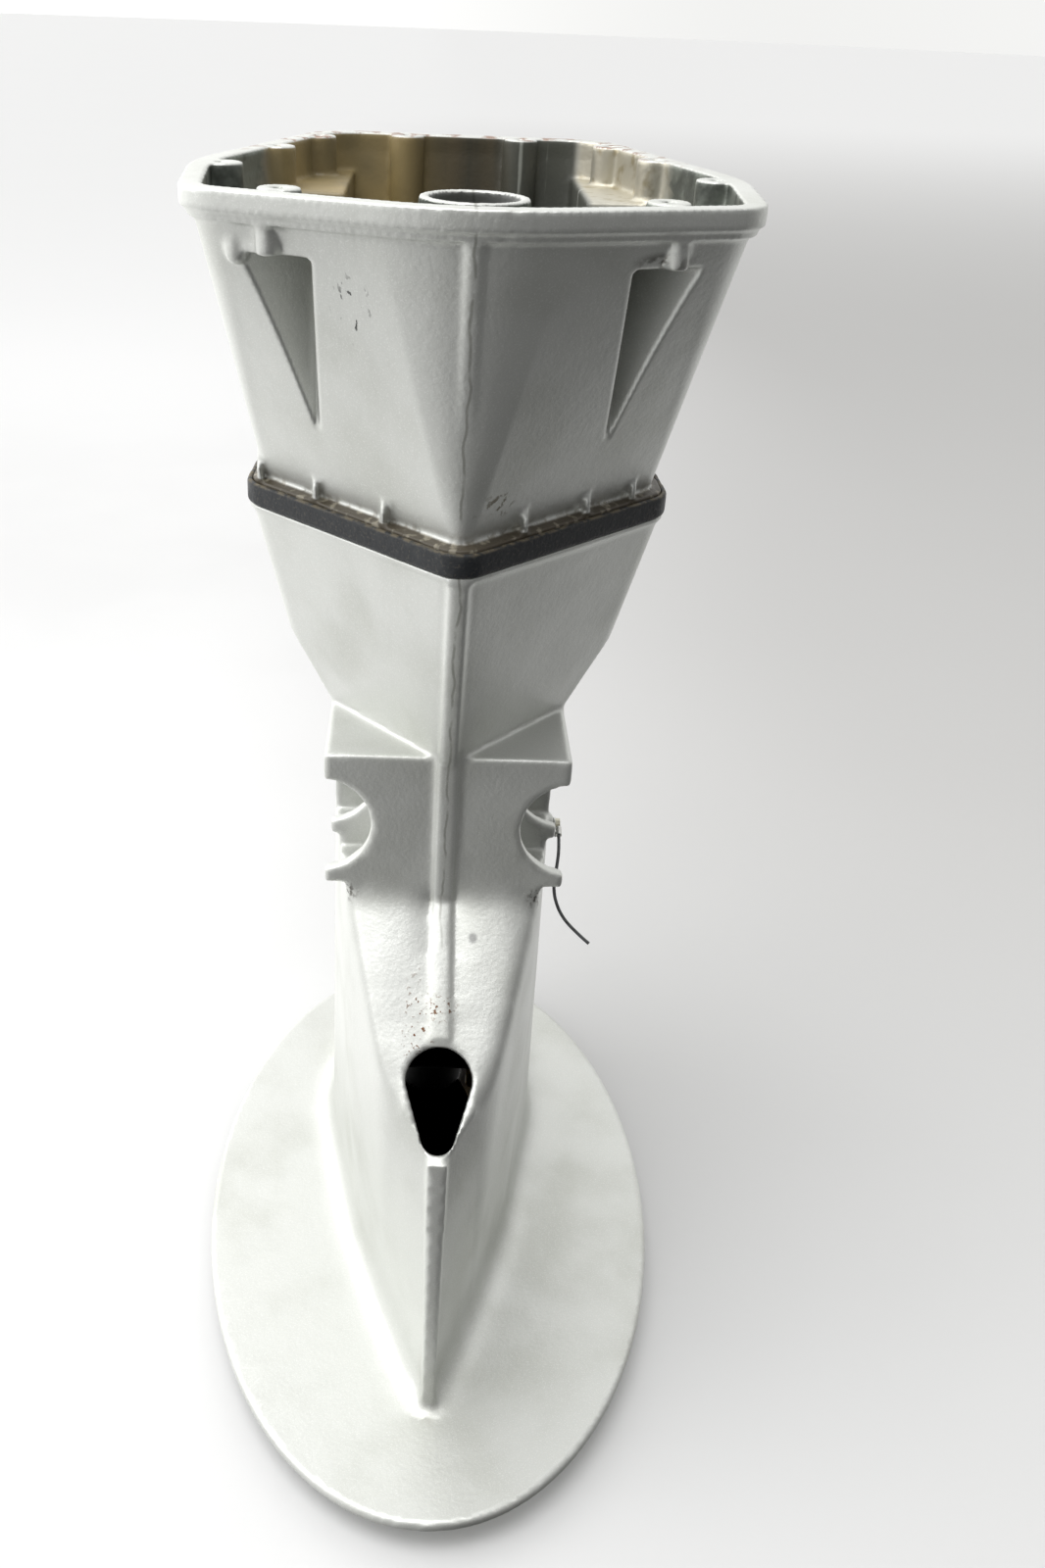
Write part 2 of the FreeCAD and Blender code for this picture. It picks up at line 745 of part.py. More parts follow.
def leg_holes():
    cuts = [tunnel_post(-MARGIN, Z_JOINT + MARGIN, size("tunnel_bore"))]
    cuts.append(post(TUBE_X, size("tube_y"), size("grommet_radius"), 0, size("web_bottom") + 20))
    depth = size("bolt_grip") + 2 * MARGIN
    for x, y in joint_bolt_places():
        cuts.append(post(x, y, size("bolt_radius"), Z_JOINT - depth, Z_JOINT + MARGIN))
    for x, y in gearcase_bolt_places():
        cuts.append(post(x, y, size("gearcase_hole_radius"), -MARGIN, size("gearcase_hole_depth")))
    for x, y in pairs(size("dowel_x"), size("dowel_y")):
        half = size("dowel_length") / 2
        cuts.append(post(x, y, size("dowel_radius"), Z_JOINT - half, Z_JOINT + MARGIN))
    start = Vector(size("lead_face_x") - size("lead_screw_length"), size("lead_y"), size("lead_z"))
    cuts.append(Part.makeCylinder(size("lead_screw_radius"), 3 * size("lead_screw_length"), start, Vector(1, 0, 0)))
    return cuts


def fuse_all(first, others):
    return first.multiFuse(others)


def cut_all(first, others):
    for other in others:
        first = first.cut(other)
    return first


def extension_case():
    body = fuse_all(leg_on_plate(), [fin(), mount_block(), shoulder(), leg_keels(), lead_boss()])
    cavity = leg_cavity().fuse(shoulder_cavity())
    body = body.cut(cavity)
    body = fuse_all(body, leg_inside_solids())
    body = cut_all(body, pocket_cuts() + [outlet_cut()] + leg_holes())
    return shape_feature("extension_case", body.removeSplitter())


# ---------------------------------------------------------------- oil case

def case_skin(distance):
    """The funnel's outer skin, or for a positive distance the hollow inside it, open at the rim."""
    foot = whole("joint", size("case_foot_inset") + distance)
    head = whole("rim", size("rim_overhang") + distance)
    sections = [(foot, Z_FLOOR), (head, Z_RIM_UNDER)]
    if distance > 0:
        sections.append((head, Z_RIM + MARGIN))
    return skin(sections)


def recess(distance, roof):
    """Upright wedge at the right rear corner, grown by distance for the wall behind it."""
    x = size("recess_x") - distance
    far = size("recess_far_x") + distance
    back = size("recess_back_y") + size("recess_x") + distance * math.sqrt(2)
    deep = -size("plate_length") / 2
    return slab([(x, deep), (x, back - x), (far, back - far), (far, deep)], Z_CASE, roof)


def wall_line(inset_distance):
    """Rear wall of the case at its foot: its place on the centre plane and its slope."""
    corners = inset(mirrored(outline("joint")), inset_distance)
    first, second = corners[:2]
    return first[1], (second[1] - first[1]) / (second[0] - first[0])


def gusset(x):
    start, slope = wall_line(size("case_foot_inset"))
    wall_y = start + slope * abs(x)
    edge_start, edge_slope = wall_line(size("strip_lap"))
    edge_y = edge_start + edge_slope * abs(x)
    bottom = Z_JOINT + size("strip_rise") + size("gasket_thick") / 2
    points = [
        (wall_y + size("wall") - MARGIN, bottom),
        (edge_y, bottom),
        (edge_y - 2 * MARGIN, bottom + size("gusset_rise") / 2),
        (wall_y, bottom + size("gusset_rise") * 1.5),
    ]
    half = size("gusset_width") / 2
    return profile(points, x - half, x + half)


def case_keel():
    half = size("keel_width_high") / 2
    raised = size("keel_raise") - MARGIN
    low_y = wall_line(size("case_foot_inset"))[0] + keel_apex("joint")
    rim_line = inset(mirrored(outline("rim")), size("rim_overhang"))
    high_y = rim_line[0][1] + keel_apex("rim")
    buried = size("wall") - MARGIN
    bottom = Z_JOINT + size("strip_rise") + size("gasket_thick") / 2
    points = [
        (low_y - raised, bottom),
        (high_y - raised, Z_RIM_UNDER),
        (high_y + buried, Z_RIM_UNDER),
        (low_y + buried, bottom),
    ]
    return profile(points, -half, half)


def recess_pillars():
    """Bolt pillars between the rim and the roof of each recess, and the lug on the left one."""
    roof = Z_RIM_UNDER - size("recess_roof_drop")
    radius = size("pillar_radius")
    solids = both_sides(post(size("pillar_x"), size("pillar_y"), radius, roof, Z_RIM_UNDER + MARGIN))
    lug_bottom = Z_RIM_UNDER - size("lug_drop") + radius
    lug = post(-size("lug_x"), size("lug_y"), radius, lug_bottom, Z_RIM_UNDER + MARGIN)
    tip = Part.makeSphere(radius, Vector(-size("lug_x"), size("lug_y"), lug_bottom))
    web = slab(
        [
            (-size("lug_x"), size("lug_y") - size("lug_web")),
            (-size("pillar_x"), size("pillar_y") - size("lug_web") / 2),
            (-size("pillar_x"), size("pillar_y") + size("lug_web")),
            (-size("lug_x"), size("lug_y") + size("lug_web")),
        ],
        roof,
        Z_RIM_UNDER + MARGIN,
    )
    return solids + [lug, tip, web]


def passage(radius, bottom, top):
    """Sloping round passage from the rim to the case floor, between two level faces."""
    low = Vector(0, size("passage_foot_y"), Z_CASE)
    high = Vector(0, size("passage_top_y"), Z_RIM)
    way = (high - low).normalize()
    rings = []
    for height in (bottom, top):
        centre = low + way * ((height - low.z) / way.z)
        rings.append(Part.Wire([Part.makeCircle(radius, centre)]))
    return Part.makeLoft(rings, True, True)


def case_inside_solids():
    """What stands inside the oil case: passage wall, tunnel, rim bosses and corner shelves."""
    roof = Z_RIM_UNDER - size("recess_roof_drop") + size("wall")
    solids = [recess(size("wall"), roof), mirror(recess(size("wall"), roof))]
    solids.append(passage(size("passage_bore") + size("passage_wall"), Z_CASE, Z_RIM))
    solids.append(tunnel_post(Z_CASE, Z_TUNNEL_TOP, size("tunnel_bore") + size("tunnel_wall")))
    for x, y in rim_bolt_places():
        solids.append(post(x, y, size("rim_boss_radius"), Z_RIM - size("rim_boss_rise"), Z_RIM))
    shelf_top = Z_RIM - size("shelf_drop")
    reach = size("plate_length") / 2
    shelf = box((size("shelf_x"), reach), (size("shelf_y"), reach), (shelf_top - size("shelf_rise"), shelf_top))
    solids += both_sides(shelf)
    drain_z = Z_CASE + size("drain_rise")
    drain_start = Vector(size("drain_x"), drain_face_y(), drain_z)
    solids.append(Part.makeCylinder(size("drain_boss_radius"), 18, drain_start, Vector(0, -1, 0)))
    return solids


def drain_face_y():
    """Front face of the drain boss, proud of the case's front wall."""
    return outline("joint")[-1][1] - size("case_foot_inset") + size("drain_boss_proud")


def case_holes():
    cuts = [passage(size("passage_bore"), Z_CASE - MARGIN, Z_RIM + MARGIN)]
    cuts.append(tunnel_post(Z_CASE - MARGIN, Z_TUNNEL_TOP + MARGIN, size("tunnel_bore")))
    cuts.append(post(TUBE_X, size("tube_y"), size("grommet_radius"), Z_CASE - MARGIN, Z_FLOOR + MARGIN))
    for x, y in rim_bolt_places():
        cuts.append(post(x, y, size("rim_hole_radius"), Z_RIM - size("rim_hole_depth"), Z_RIM + MARGIN))
    for x, y in joint_bolt_places():
        cuts.append(post(x, y, size("bolt_radius"), Z_CASE - MARGIN, Z_FLOOR + MARGIN))
    for x, y in pairs(size("dowel_x"), size("dowel_y")):
        half = size("dowel_length") / 2
        cuts.append(post(x, y, size("dowel_radius"), Z_CASE - MARGIN, Z_JOINT + half))
    for x, y in exhaust_bolt_places():
        cuts.append(post(x, y, size("exhaust_bolt_radius"), Z_CASE - MARGIN, Z_CASE + size("exhaust_bolt_depth")))
    start = Vector(size("drain_x"), drain_face_y() + MARGIN, Z_CASE + size("drain_rise"))
    cuts.append(Part.makeCylinder(size("drain_radius"), 40, start, Vector(0, -1, 0)))
    return cuts


def oil_case():
    roof = Z_RIM_UNDER - size("recess_roof_drop")
    drain_start = Vector(size("drain_x"), drain_face_y() - 12, Z_CASE + size("drain_rise"))
    outside = [
        prism(whole("joint", size("strip_lap")), Z_CASE, Z_FLOOR),
        prism(whole("rim"), Z_RIM_UNDER, Z_RIM),
        prism(whole("rim", size("under_lip_inset")), Z_RIM_UNDER - size("under_lip_rise"), Z_RIM_UNDER),
        case_keel(),
        Part.makeCylinder(size("drain_boss_radius"), 12, drain_start, Vector(0, 1, 0)),
    ]
    for number in range(len(GUSSETS)):
        outside.append(gusset(size(f"gusset{number}_x")))
    shell = cut_all(case_skin(0), both_sides(recess(0, roof)))
    body = fuse_all(shell, outside + recess_pillars())
    cavity = cut_all(case_skin(size("wall")), case_inside_solids())
    body = body.cut(cavity)
    body = cut_all(body, case_holes())
    return shape_feature("oil_case", body.removeSplitter())


# ---------------------------------------------------------------- seals and gaskets

def joint_gasket():
    flange = prism(whole("joint", size("strip_lap") + MARGIN), Z_JOINT, Z_CASE)
    mouth = prism(whole("joint", size("joint_flange_width")), Z_JOINT - MARGIN, Z_CASE + MARGIN)
    cuts = [mouth, tunnel_post(Z_JOINT - MARGIN, Z_CASE + MARGIN, size("tunnel_bore"))]
    for x, y in joint_bolt_places():
        cuts.append(post(x, y, size("bolt_radius"), Z_JOINT - MARGIN, Z_CASE + MARGIN))
    for x, y in pairs(size("dowel_x"), size("dowel_y")):
        cuts.append(post(x, y, size("dowel_radius"), Z_JOINT - MARGIN, Z_CASE + MARGIN))
    return shape_feature("joint_gasket", cut_all(flange, cuts))


def seal_strip():
    top = Z_JOINT + size("strip_rise")
    outer = prism(whole("joint", -size("strip_proud")), Z_JOINT, top)
    bore = prism(whole("joint", size("strip_lap")), Z_JOINT - MARGIN, Z_FLOOR)
    mouth = prism(whole("joint", size("strip_cover")), Z_FLOOR - MARGIN, top + MARGIN)
    return shape_feature("seal_strip", outer.cut(bore).cut(mouth))


def exhaust_gasket():
    radius = size("exhaust_flange_radius")
    disc = post(0, size("passage_foot_y"), radius, Z_JOINT, Z_CASE)
    cuts = [post(0, size("passage_foot_y"), size("passage_bore"), Z_JOINT - MARGIN, Z_CASE + MARGIN)]
    for x, y in exhaust_bolt_places():
        cuts.append(post(x, y, size("exhaust_bolt_radius"), Z_JOINT - MARGIN, Z_CASE + MARGIN))
    return shape_feature("exhaust_pipe_gasket", cut_all(disc, cuts))


# ---------------------------------------------------------------- exhaust pipe

def cylinder_object(name, radius, height, bottom):
    cylinder = doc.addObject("Part::Cylinder", name)
    bind(cylinder, "Radius", radius)
    bind(cylinder, "Height", height)
    bind(cylinder, "Placement.Base.y", "Sizes.passage_foot_y")
    bind(cylinder, "Placement.Base.z", bottom)
    return cylinder


JOINT_SUM = "(" + " + ".join(
    f"Sizes.{name}"
    for name in (
        "spigot_rise",
        "plate_thick",
        "fin_rise",
        "slope_rise",
        "block_gap",
        "block_rise",
        "shoulder_rise",
    )
) + ")"
RIM_SUM = f"({JOINT_SUM} + Sizes.gasket_thick + Sizes.floor_thick + Sizes.case_rise + Sizes.rim_thick)"
TUBE_X_FORMULA = (
    "sqrt((Sizes.tunnel_bore + Sizes.tunnel_wall + Sizes.tube_gap + Sizes.grommet_radius + Sizes.grommet_lip)^2"
    " - (Sizes.tunnel_y - Sizes.tube_y)^2)"
)


def exhaust_pipe():
    flange_bottom = f"{JOINT_SUM} - Sizes.exhaust_flange_thick"
    pipe_bottom = f"{JOINT_SUM} - Sizes.exhaust_pipe_length"
    flange = cylinder_object("exhaust_flange", "Sizes.exhaust_flange_radius", "Sizes.exhaust_flange_thick", flange_bottom)
    pipe = cylinder_object("exhaust_tube", "Sizes.exhaust_pipe_outer", "Sizes.exhaust_pipe_length", pipe_bottom)
    bore_radius = "Sizes.exhaust_pipe_outer - Sizes.exhaust_pipe_wall"
    bore = cylinder_object("exhaust_bore", bore_radius, "Sizes.exhaust_pipe_length", pipe_bottom)
    holes = []
    for number, (x, y) in enumerate(exhaust_bolt_places()):
        hole = doc.addObject("Part::Cylinder", f"exhaust_hole{number}")
        bind(hole, "Radius", "Sizes.exhaust_bolt_radius")
        bind(hole, "Height", "Sizes.exhaust_flange_thick")
        bind(hole, "Placement.Base.z", flange_bottom)
        hole.Placement.Base = Vector(x, y, hole.Placement.Base.z)
        holes.append(hole)
    union = doc.addObject("Part::Fuse", "exhaust_union")
    union.Base = flange
    union.Tool = pipe
    previous = union
    for number, tool in enumerate([bore] + holes):
        cut = doc.addObject("Part::Cut", f"exhaust_cut{number}")
        cut.Base = previous
        cut.Tool = tool
        previous = cut
    return keep(previous, "exhaust_pipe")


def exhaust_bolts():
    flange_radius = "Sizes.exhaust_bolt_radius * 1.7"
    grip = "Sizes.exhaust_flange_thick + Sizes.gasket_thick + Sizes.exhaust_bolt_depth - 1"
    template = padded_body(
        "exhaust_bolt_template",
        [
            (flange_radius, None, "0", "4", None),
            ("Sizes.exhaust_bolt_radius", None, "4", grip, None),
        ],
    )
    doc.recompute()
    bottom = Z_JOINT - size("exhaust_flange_thick") - 4
    spots = [Placement(Vector(x, y, bottom), Rotation()) for x, y in exhaust_bolt_places()]
    return copies("exhaust_pipe_bolts", template, spots)


# ---------------------------------------------------------------- joint fasteners

def joint_bolts():
    flange_top = "Sizes.bolt_flange_thick"
    template = padded_body(
        "joint_bolt_template",
        [
            ("Sizes.bolt_radius", None, "-(Sizes.floor_thick + Sizes.bolt_grip)", "Sizes.floor_thick + Sizes.bolt_grip", None),
            ("Sizes.bolt_flange_radius", None, "0", flange_top, None),
            (None, None, flange_top, "Sizes.bolt_head_rise", "Sizes.bolt_head_flats"),
        ],
    )
    doc.recompute()
    spots = [Placement(Vector(x, y, Z_FLOOR), Rotation()) for x, y in joint_bolt_places()]
    return copies("joint_bolts", template, spots)


def joint_dowels():
    template = padded_body(
        "joint_dowel_template", [("Sizes.dowel_radius", None, "0", "Sizes.dowel_length", None)]
    )
    doc.recompute()
    bottom = Z_JOINT - size("dowel_length") / 2
    spots = [Placement(Vector(x, y, bottom), Rotation()) for x, y in pairs(size("dowel_x"), size("dowel_y"))]
    return copies("joint_dowels", template, spots)


# ---------------------------------------------------------------- drive-shaft and water fittings

def round_node(label, layers, x, y, z):
    body = padded_body(label, layers)
    place(body, x, y, z)
    return keep(body, label)


def shaft_fittings():
    round_node(
        "drive_shaft_bush",
        [("Sizes.tunnel_bore", "Sizes.bush_bore", "0", "Sizes.bush_length", None)],
        0, "Sizes.tunnel_y", "Sizes.bush_bottom",
    )
    round_node(
        "bush_retaining_ring",
        [("Sizes.tunnel_bore", "Sizes.ring_bore", "0", "Sizes.ring_thick", None)],
        0, "Sizes.tunnel_y", "Sizes.bush_bottom - Sizes.ring_thick",
    )
    tunnel_top = f"{JOINT_SUM} + Sizes.gasket_thick + Sizes.floor_thick + Sizes.tunnel_rise"
    round_node(
        "drive_shaft_oil_seal",
        [("Sizes.tunnel_bore", "Sizes.seal_bore", "0", "Sizes.seal_thick", None)],
        0, "Sizes.tunnel_y", f"{tunnel_top} - Sizes.seal_thick",
    )


def water_fittings():
    tube_length = f"{RIM_SUM} - Sizes.tube_top_drop - Sizes.tube_bottom"
    round_node(
        "water_tube",
        [("Sizes.tube_outer", "Sizes.tube_inner", "0", tube_length, None)],
        TUBE_X_FORMULA, "Sizes.tube_y", "Sizes.tube_bottom",
    )
    lip = "Sizes.grommet_radius + Sizes.grommet_lip"
    lip_thick = "Sizes.grommet_lip_thick"
    for label, thick, bottom in (
        ("water_tube_floor_grommet", "Sizes.floor_thick", f"{JOINT_SUM} + Sizes.gasket_thick"),
        ("water_tube_lower_grommet", "Sizes.web_thick", "Sizes.web_bottom"),
    ):
        round_node(
            label,
            [
                ("Sizes.grommet_radius", "Sizes.tube_outer", "0", thick, None),
                (lip, "Sizes.tube_outer", thick, lip_thick, None),
            ],
            TUBE_X_FORMULA, "Sizes.tube_y", bottom,
        )
    round_node(
        "water_tube_top_seal",
        [("Sizes.grommet_radius", "Sizes.tube_outer", "0", "Sizes.seal_thick", None)],
        TUBE_X_FORMULA, "Sizes.tube_y", f"{RIM_SUM} - Sizes.tube_top_drop - Sizes.seal_thick",
    )


# ---------------------------------------------------------------- oil drain

def drain_fittings():
    """Plug and washer, screwed into the boss on the front wall."""
    face_y = drain_face_y()
    height = Z_CASE + size("drain_rise")
    turn = Rotation(Vector(1, 0, 0), 90)
    washer = padded_body(
        "oil_drain_washer",
        [("Sizes.drain_washer_radius", "Sizes.drain_radius", "0", "Sizes.drain_washer_thick", None)],
    )
    washer.Placement = Placement(Vector(size("drain_x"), face_y + size("drain_washer_thick"), height), turn)
    keep(washer, "oil_drain_washer")
    plug = padded_body(
        "oil_drain_plug",
        [
            (None, None, "0", "Sizes.drain_head_rise", "Sizes.drain_head_radius * 1.7"),
            (
                "Sizes.drain_radius", None, "Sizes.drain_head_rise",
                "Sizes.drain_washer_thick + Sizes.drain_length", None,
            ),
        ],
    )
    head_y = face_y + size("drain_washer_thick") + size("drain_head_rise")
    plug.Placement = Placement(Vector(size("drain_x"), head_y, height), turn)
    keep(plug, "oil_drain_plug")


# ---------------------------------------------------------------- bonding lead

def lead_tube():
    """Round tube of straight runs joined by tangent arcs, along the lead's route."""
    points = [Vector(*point) for point in LEAD_ROUTE]
    edges = []
    start = points[0]
    radii = []
    for before, corner, after in zip(points, points[1:], points[2:]):
        back = (before - corner).normalize()
        ahead = (after - corner).normalize()
        half_turn = (math.pi - back.getAngle(ahead)) / 2
        shorter = min((before - corner).Length, (after - corner).Length)
        reach = ARC_SHARE * shorter
        radius = reach / math.tan(half_turn)
        radii.append(round(radius, 1))
        middle = corner + (back + ahead).normalize() * (radius / math.cos(half_turn) - radius)
        entry = corner + back * reach
        leave = corner + ahead * reach
        edges.append(Part.LineSegment(start, entry).toShape())
        edges.append(Part.Arc(entry, middle, leave).toShape())
        start = leave
    edges.append(Part.LineSegment(start, points[-1]).toShape())
    path = Part.Wire(edges)
    radius = size("lead_radius")
    section = Part.Wire([Part.makeCircle(radius, points[0], points[1] - points[0])])
    tube = path.makePipeShell([section], True, False)
    expected = math.pi * radius ** 2 * path.Length
    print("lead bend radii", radii, "length", round(path.Length, 1), "volume ratio", round(tube.Volume / expected, 4))
    return shape_feature("bonding_lead", tube)


def lead_terminal():
    """Ring tongue on the boss with a round barrel that ends where the lead starts."""
    face = size("lead_face_x")
    thick = size("terminal_thick")
    y = size("lead_y")
    z = size("lead_z")
    ring = Part.makeCylinder(size("terminal_radius"), thick, Vector(face, y, z), Vector(1, 0, 0))
    start = Vector(*LEAD_ROUTE[0])
    way = (Vector(*LEAD_ROUTE[0]) - Vector(*LEAD_ROUTE[1])).normalize()
    barrel = Part.makeCylinder(size("barrel_radius"), size("barrel_length"), start, way)
    neck = box((face, face + thick), (start.y + MARGIN, y), (z - size("barrel_radius"), z + size("barrel_radius")))
    hole = Part.makeCylinder(size("lead_screw_radius"), 4 * thick, Vector(face - thick, y, z), Vector(1, 0, 0))
    return shape_feature("lead_terminal", ring.fuse([neck, barrel]).cut(hole).removeSplitter())


def lead_screw():
    turn = Rotation(Vector(0, 1, 0), 90)
    grip = "Sizes.lead_screw_length + Sizes.terminal_thick - 1"
    body = padded_body(
        "lead_screw",
        [
            ("Sizes.lead_screw_radius", None, f"-({grip})", grip, None),
            ("Sizes.lead_screw_head", None, "0", "Sizes.lead_screw_head_rise", None),
        ],
    )
    start = Vector(size("lead_face_x") + size("terminal_thick"), size("lead_y"), size("lead_z"))
    body.Placement = Placement(start, turn)
    return keep(body, "lead_screw")


# ---------------------------------------------------------------- build, check and write

extension_case()
oil_case()
joint_gasket()
seal_strip()
exhaust_gasket()
exhaust_pipe()
exhaust_bolts()
joint_bolts()
joint_dowels()
shaft_fittings()
water_fittings()
drain_fittings()
lead_tube()
lead_terminal()
lead_screw()
doc.recompute()

for thing in doc.Objects:
    if {"Invalid", "Error"} & set(thing.State):
        raise RuntimeError(f"{thing.Label} failed: {thing.State}")
for label, feature in nodes.items():
    if feature.Shape.isNull() or not feature.Shape.isValid():
        raise RuntimeError(f"{label} has no valid shape")
    if not feature.Shape.Solids:
        raise RuntimeError(f"{label} has no solid")

os.makedirs("parts", exist_ok=True)
for label, feature in nodes.items():
    solids = feature.Shape.Solids
    shape = solids[0] if len(solids) == 1 else Part.makeCompound(solids)
    shape.exportStep(f"parts/{label}.step")
    print(label, len(solids), "solids", round(shape.Volume / 1000, 2), "cm3")
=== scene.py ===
import json
import math
import bmesh
import bpy
import numpy as np
from mathutils import Matrix, Vector
from mathutils.bvhtree import BVHTree


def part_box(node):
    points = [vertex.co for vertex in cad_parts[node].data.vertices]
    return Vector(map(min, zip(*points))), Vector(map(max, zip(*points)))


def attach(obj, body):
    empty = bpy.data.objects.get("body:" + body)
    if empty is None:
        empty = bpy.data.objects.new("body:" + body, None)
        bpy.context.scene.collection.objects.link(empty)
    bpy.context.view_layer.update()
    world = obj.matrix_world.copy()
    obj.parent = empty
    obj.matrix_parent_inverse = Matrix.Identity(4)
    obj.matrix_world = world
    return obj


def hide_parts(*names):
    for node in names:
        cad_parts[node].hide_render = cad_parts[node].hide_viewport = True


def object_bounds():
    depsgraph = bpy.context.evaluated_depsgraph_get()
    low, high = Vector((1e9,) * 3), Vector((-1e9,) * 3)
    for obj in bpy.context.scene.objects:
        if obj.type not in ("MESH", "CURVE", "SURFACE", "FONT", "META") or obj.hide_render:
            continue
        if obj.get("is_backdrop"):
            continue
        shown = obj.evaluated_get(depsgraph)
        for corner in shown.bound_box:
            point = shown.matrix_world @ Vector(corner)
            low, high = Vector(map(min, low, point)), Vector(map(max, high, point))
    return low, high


# Stripped, silver-painted midsection of an outboard motor: oil case above, hollow leg with a splash plate below.
# +Z is up, -Y is the rear (trailing) side that the camera looks at. Everything is in metres.

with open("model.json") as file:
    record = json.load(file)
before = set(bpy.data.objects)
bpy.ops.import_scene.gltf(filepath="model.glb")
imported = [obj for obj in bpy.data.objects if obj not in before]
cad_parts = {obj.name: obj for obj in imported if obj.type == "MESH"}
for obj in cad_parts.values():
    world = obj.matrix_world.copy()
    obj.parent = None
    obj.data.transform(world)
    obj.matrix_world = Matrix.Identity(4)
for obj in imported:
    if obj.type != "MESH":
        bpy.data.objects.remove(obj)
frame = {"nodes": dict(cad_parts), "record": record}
CAD_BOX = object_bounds()
NODES = frame["nodes"]

MM = 0.001

# ---------------------------------------------------------------- landmarks, from the frame and the part's own sizes

RIM_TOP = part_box("oil_case")[1].z
CASE_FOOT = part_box("oil_case")[0].z
JOINT_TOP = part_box("seal_strip")[1].z
PLATE_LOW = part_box("extension_case")[0].z
CASE_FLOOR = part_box("drive_shaft_oil_seal")[0].z
PASSAGE_FOOT_Y = (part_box("exhaust_pipe")[0].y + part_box("exhaust_pipe")[1].y) / 2

PASSAGE_TOP_Y = -87 * MM
PASSAGE_RADIUS = 18.5 * MM
PLATE_TOP = PLATE_LOW + 22 * MM
SLOPE_FOOT = Vector((0, -151 * MM, PLATE_TOP + 165 * MM))
SLOPE_HEAD = Vector((0, -40 * MM, PLATE_TOP + 265 * MM))
BLOCK_FOOT = PLATE_TOP + 270 * MM
OUTLET_MIDDLE = SLOPE_FOOT.lerp(SLOPE_HEAD, 0.26)

# ---------------------------------------------------------------- camera, light and floor

FOCAL = 0.90625                    # of the image's height
CAMERA_PLACE = Vector((0, -704.6 * MM, 727 * MM))
CAMERA_PITCH = math.radians(29.24)
CAMERA_ROLL = math.radians(2.35)
CAMERA_TURN = math.radians(-1.44)   # round the part's upright axis, towards its left side
CAMERA_SHIFT = (0.049, -0.0015)
SENSOR = 36

LIGHT_TARGET = (0, 0, 0.3)
WHITE = (1.0, 1.0, 1.0)


def make_camera():
    data = bpy.data.cameras.new("camera")
    data.sensor_width = SENSOR
    data.lens = SENSOR * FOCAL
    data.shift_x, data.shift_y = CAMERA_SHIFT
    data.clip_start = 0.01
    camera = bpy.data.objects.new("camera", data)
    bpy.context.scene.collection.objects.link(camera)
    turn = Matrix.Rotation(math.pi / 2 - CAMERA_PITCH, 4, "X") @ Matrix.Rotation(CAMERA_ROLL, 4, "Z")
    camera.matrix_world = Matrix.Rotation(CAMERA_TURN, 4, "Z") @ Matrix.Translation(CAMERA_PLACE) @ turn
    bpy.context.scene.camera = camera


def soft_box(name, place, target, width, height, power, colour):
    data = bpy.data.lights.new(name, "AREA")
    data.shape = "RECTANGLE"
    data.size = width
    data.size_y = height
    data.energy = power
    data.color = colour
    lamp = bpy.data.objects.new(name, data)
    bpy.context.scene.collection.objects.link(lamp)
    turn = (Vector(target) - Vector(place)).to_track_quat("-Z", "Y").to_matrix().to_4x4()
    lamp.matrix_world = Matrix.Translation(place) @ turn


# side of the studio, where its light starts and is full along that axis, and its strength
WORLD_LOBES = [
    ("X", 0.24, -0.75, 0.89),
    ("Y", -0.05, 0.75, 0.82),
    ("Z", -0.35, 0.30, 0.06),
    ("Z", 0.25, 0.95, 0.42),
    ("X", 0.10, 0.90, 0.11),
    ("Z", -2.0, -1.5, 0.03),
]


def world_lobe(nodes, links, value, low, high, strength):
    """Light from one side of the studio: none below low, strength from high on."""
    lobe = nodes.new("ShaderNodeMapRange")
    lobe.interpolation_type = "SMOOTHSTEP"
    lobe.inputs["From Min"].default_value = low
    lobe.inputs["From Max"].default_value = high
    lobe.inputs["To Max"].default_value = strength
    links.new(value, lobe.inputs["Value"])
    return lobe.outputs[0]


def make_world():
    """A studio that is bright on the left, above and behind the object, and dim where the camera stands."""
    world = bpy.data.worlds.new("studio")
    world.use_nodes = True
    nodes, links = world.node_tree.nodes, world.node_tree.links
    way = nodes.new("ShaderNodeTexCoord").outputs["Generated"]
    split = nodes.new("ShaderNodeSeparateXYZ")
    links.new(way, split.inputs[0])
    total = None
    for letter, low, high, strength in WORLD_LOBES:
        lobe = world_lobe(nodes, links, split.outputs[letter], low, high, strength)
        if total is None:
            total = lobe
            continue
        add = nodes.new("ShaderNodeMath")
        links.new(total, add.inputs[0])
        links.new(lobe, add.inputs[1])
        total = add.outputs[0]
    links.new(total, nodes["Background"].inputs["Strength"])
    nodes["Background"].inputs["Color"].default_value = (1.0, 1.0, 0.985, 1)
    bpy.context.scene.world = world
    bpy.context.scene.view_settings.view_transform = "Standard"


def make_light():
    soft_box("key_left", (-1.7, -0.1, 1.5), LIGHT_TARGET, 1.6, 1.6, 12.5, WHITE)
    soft_box("top", (-0.35, -0.55, 2.4), LIGHT_TARGET, 1.4, 1.2, 21, WHITE)
    make_world()


# ---------------------------------------------------------------- shader building

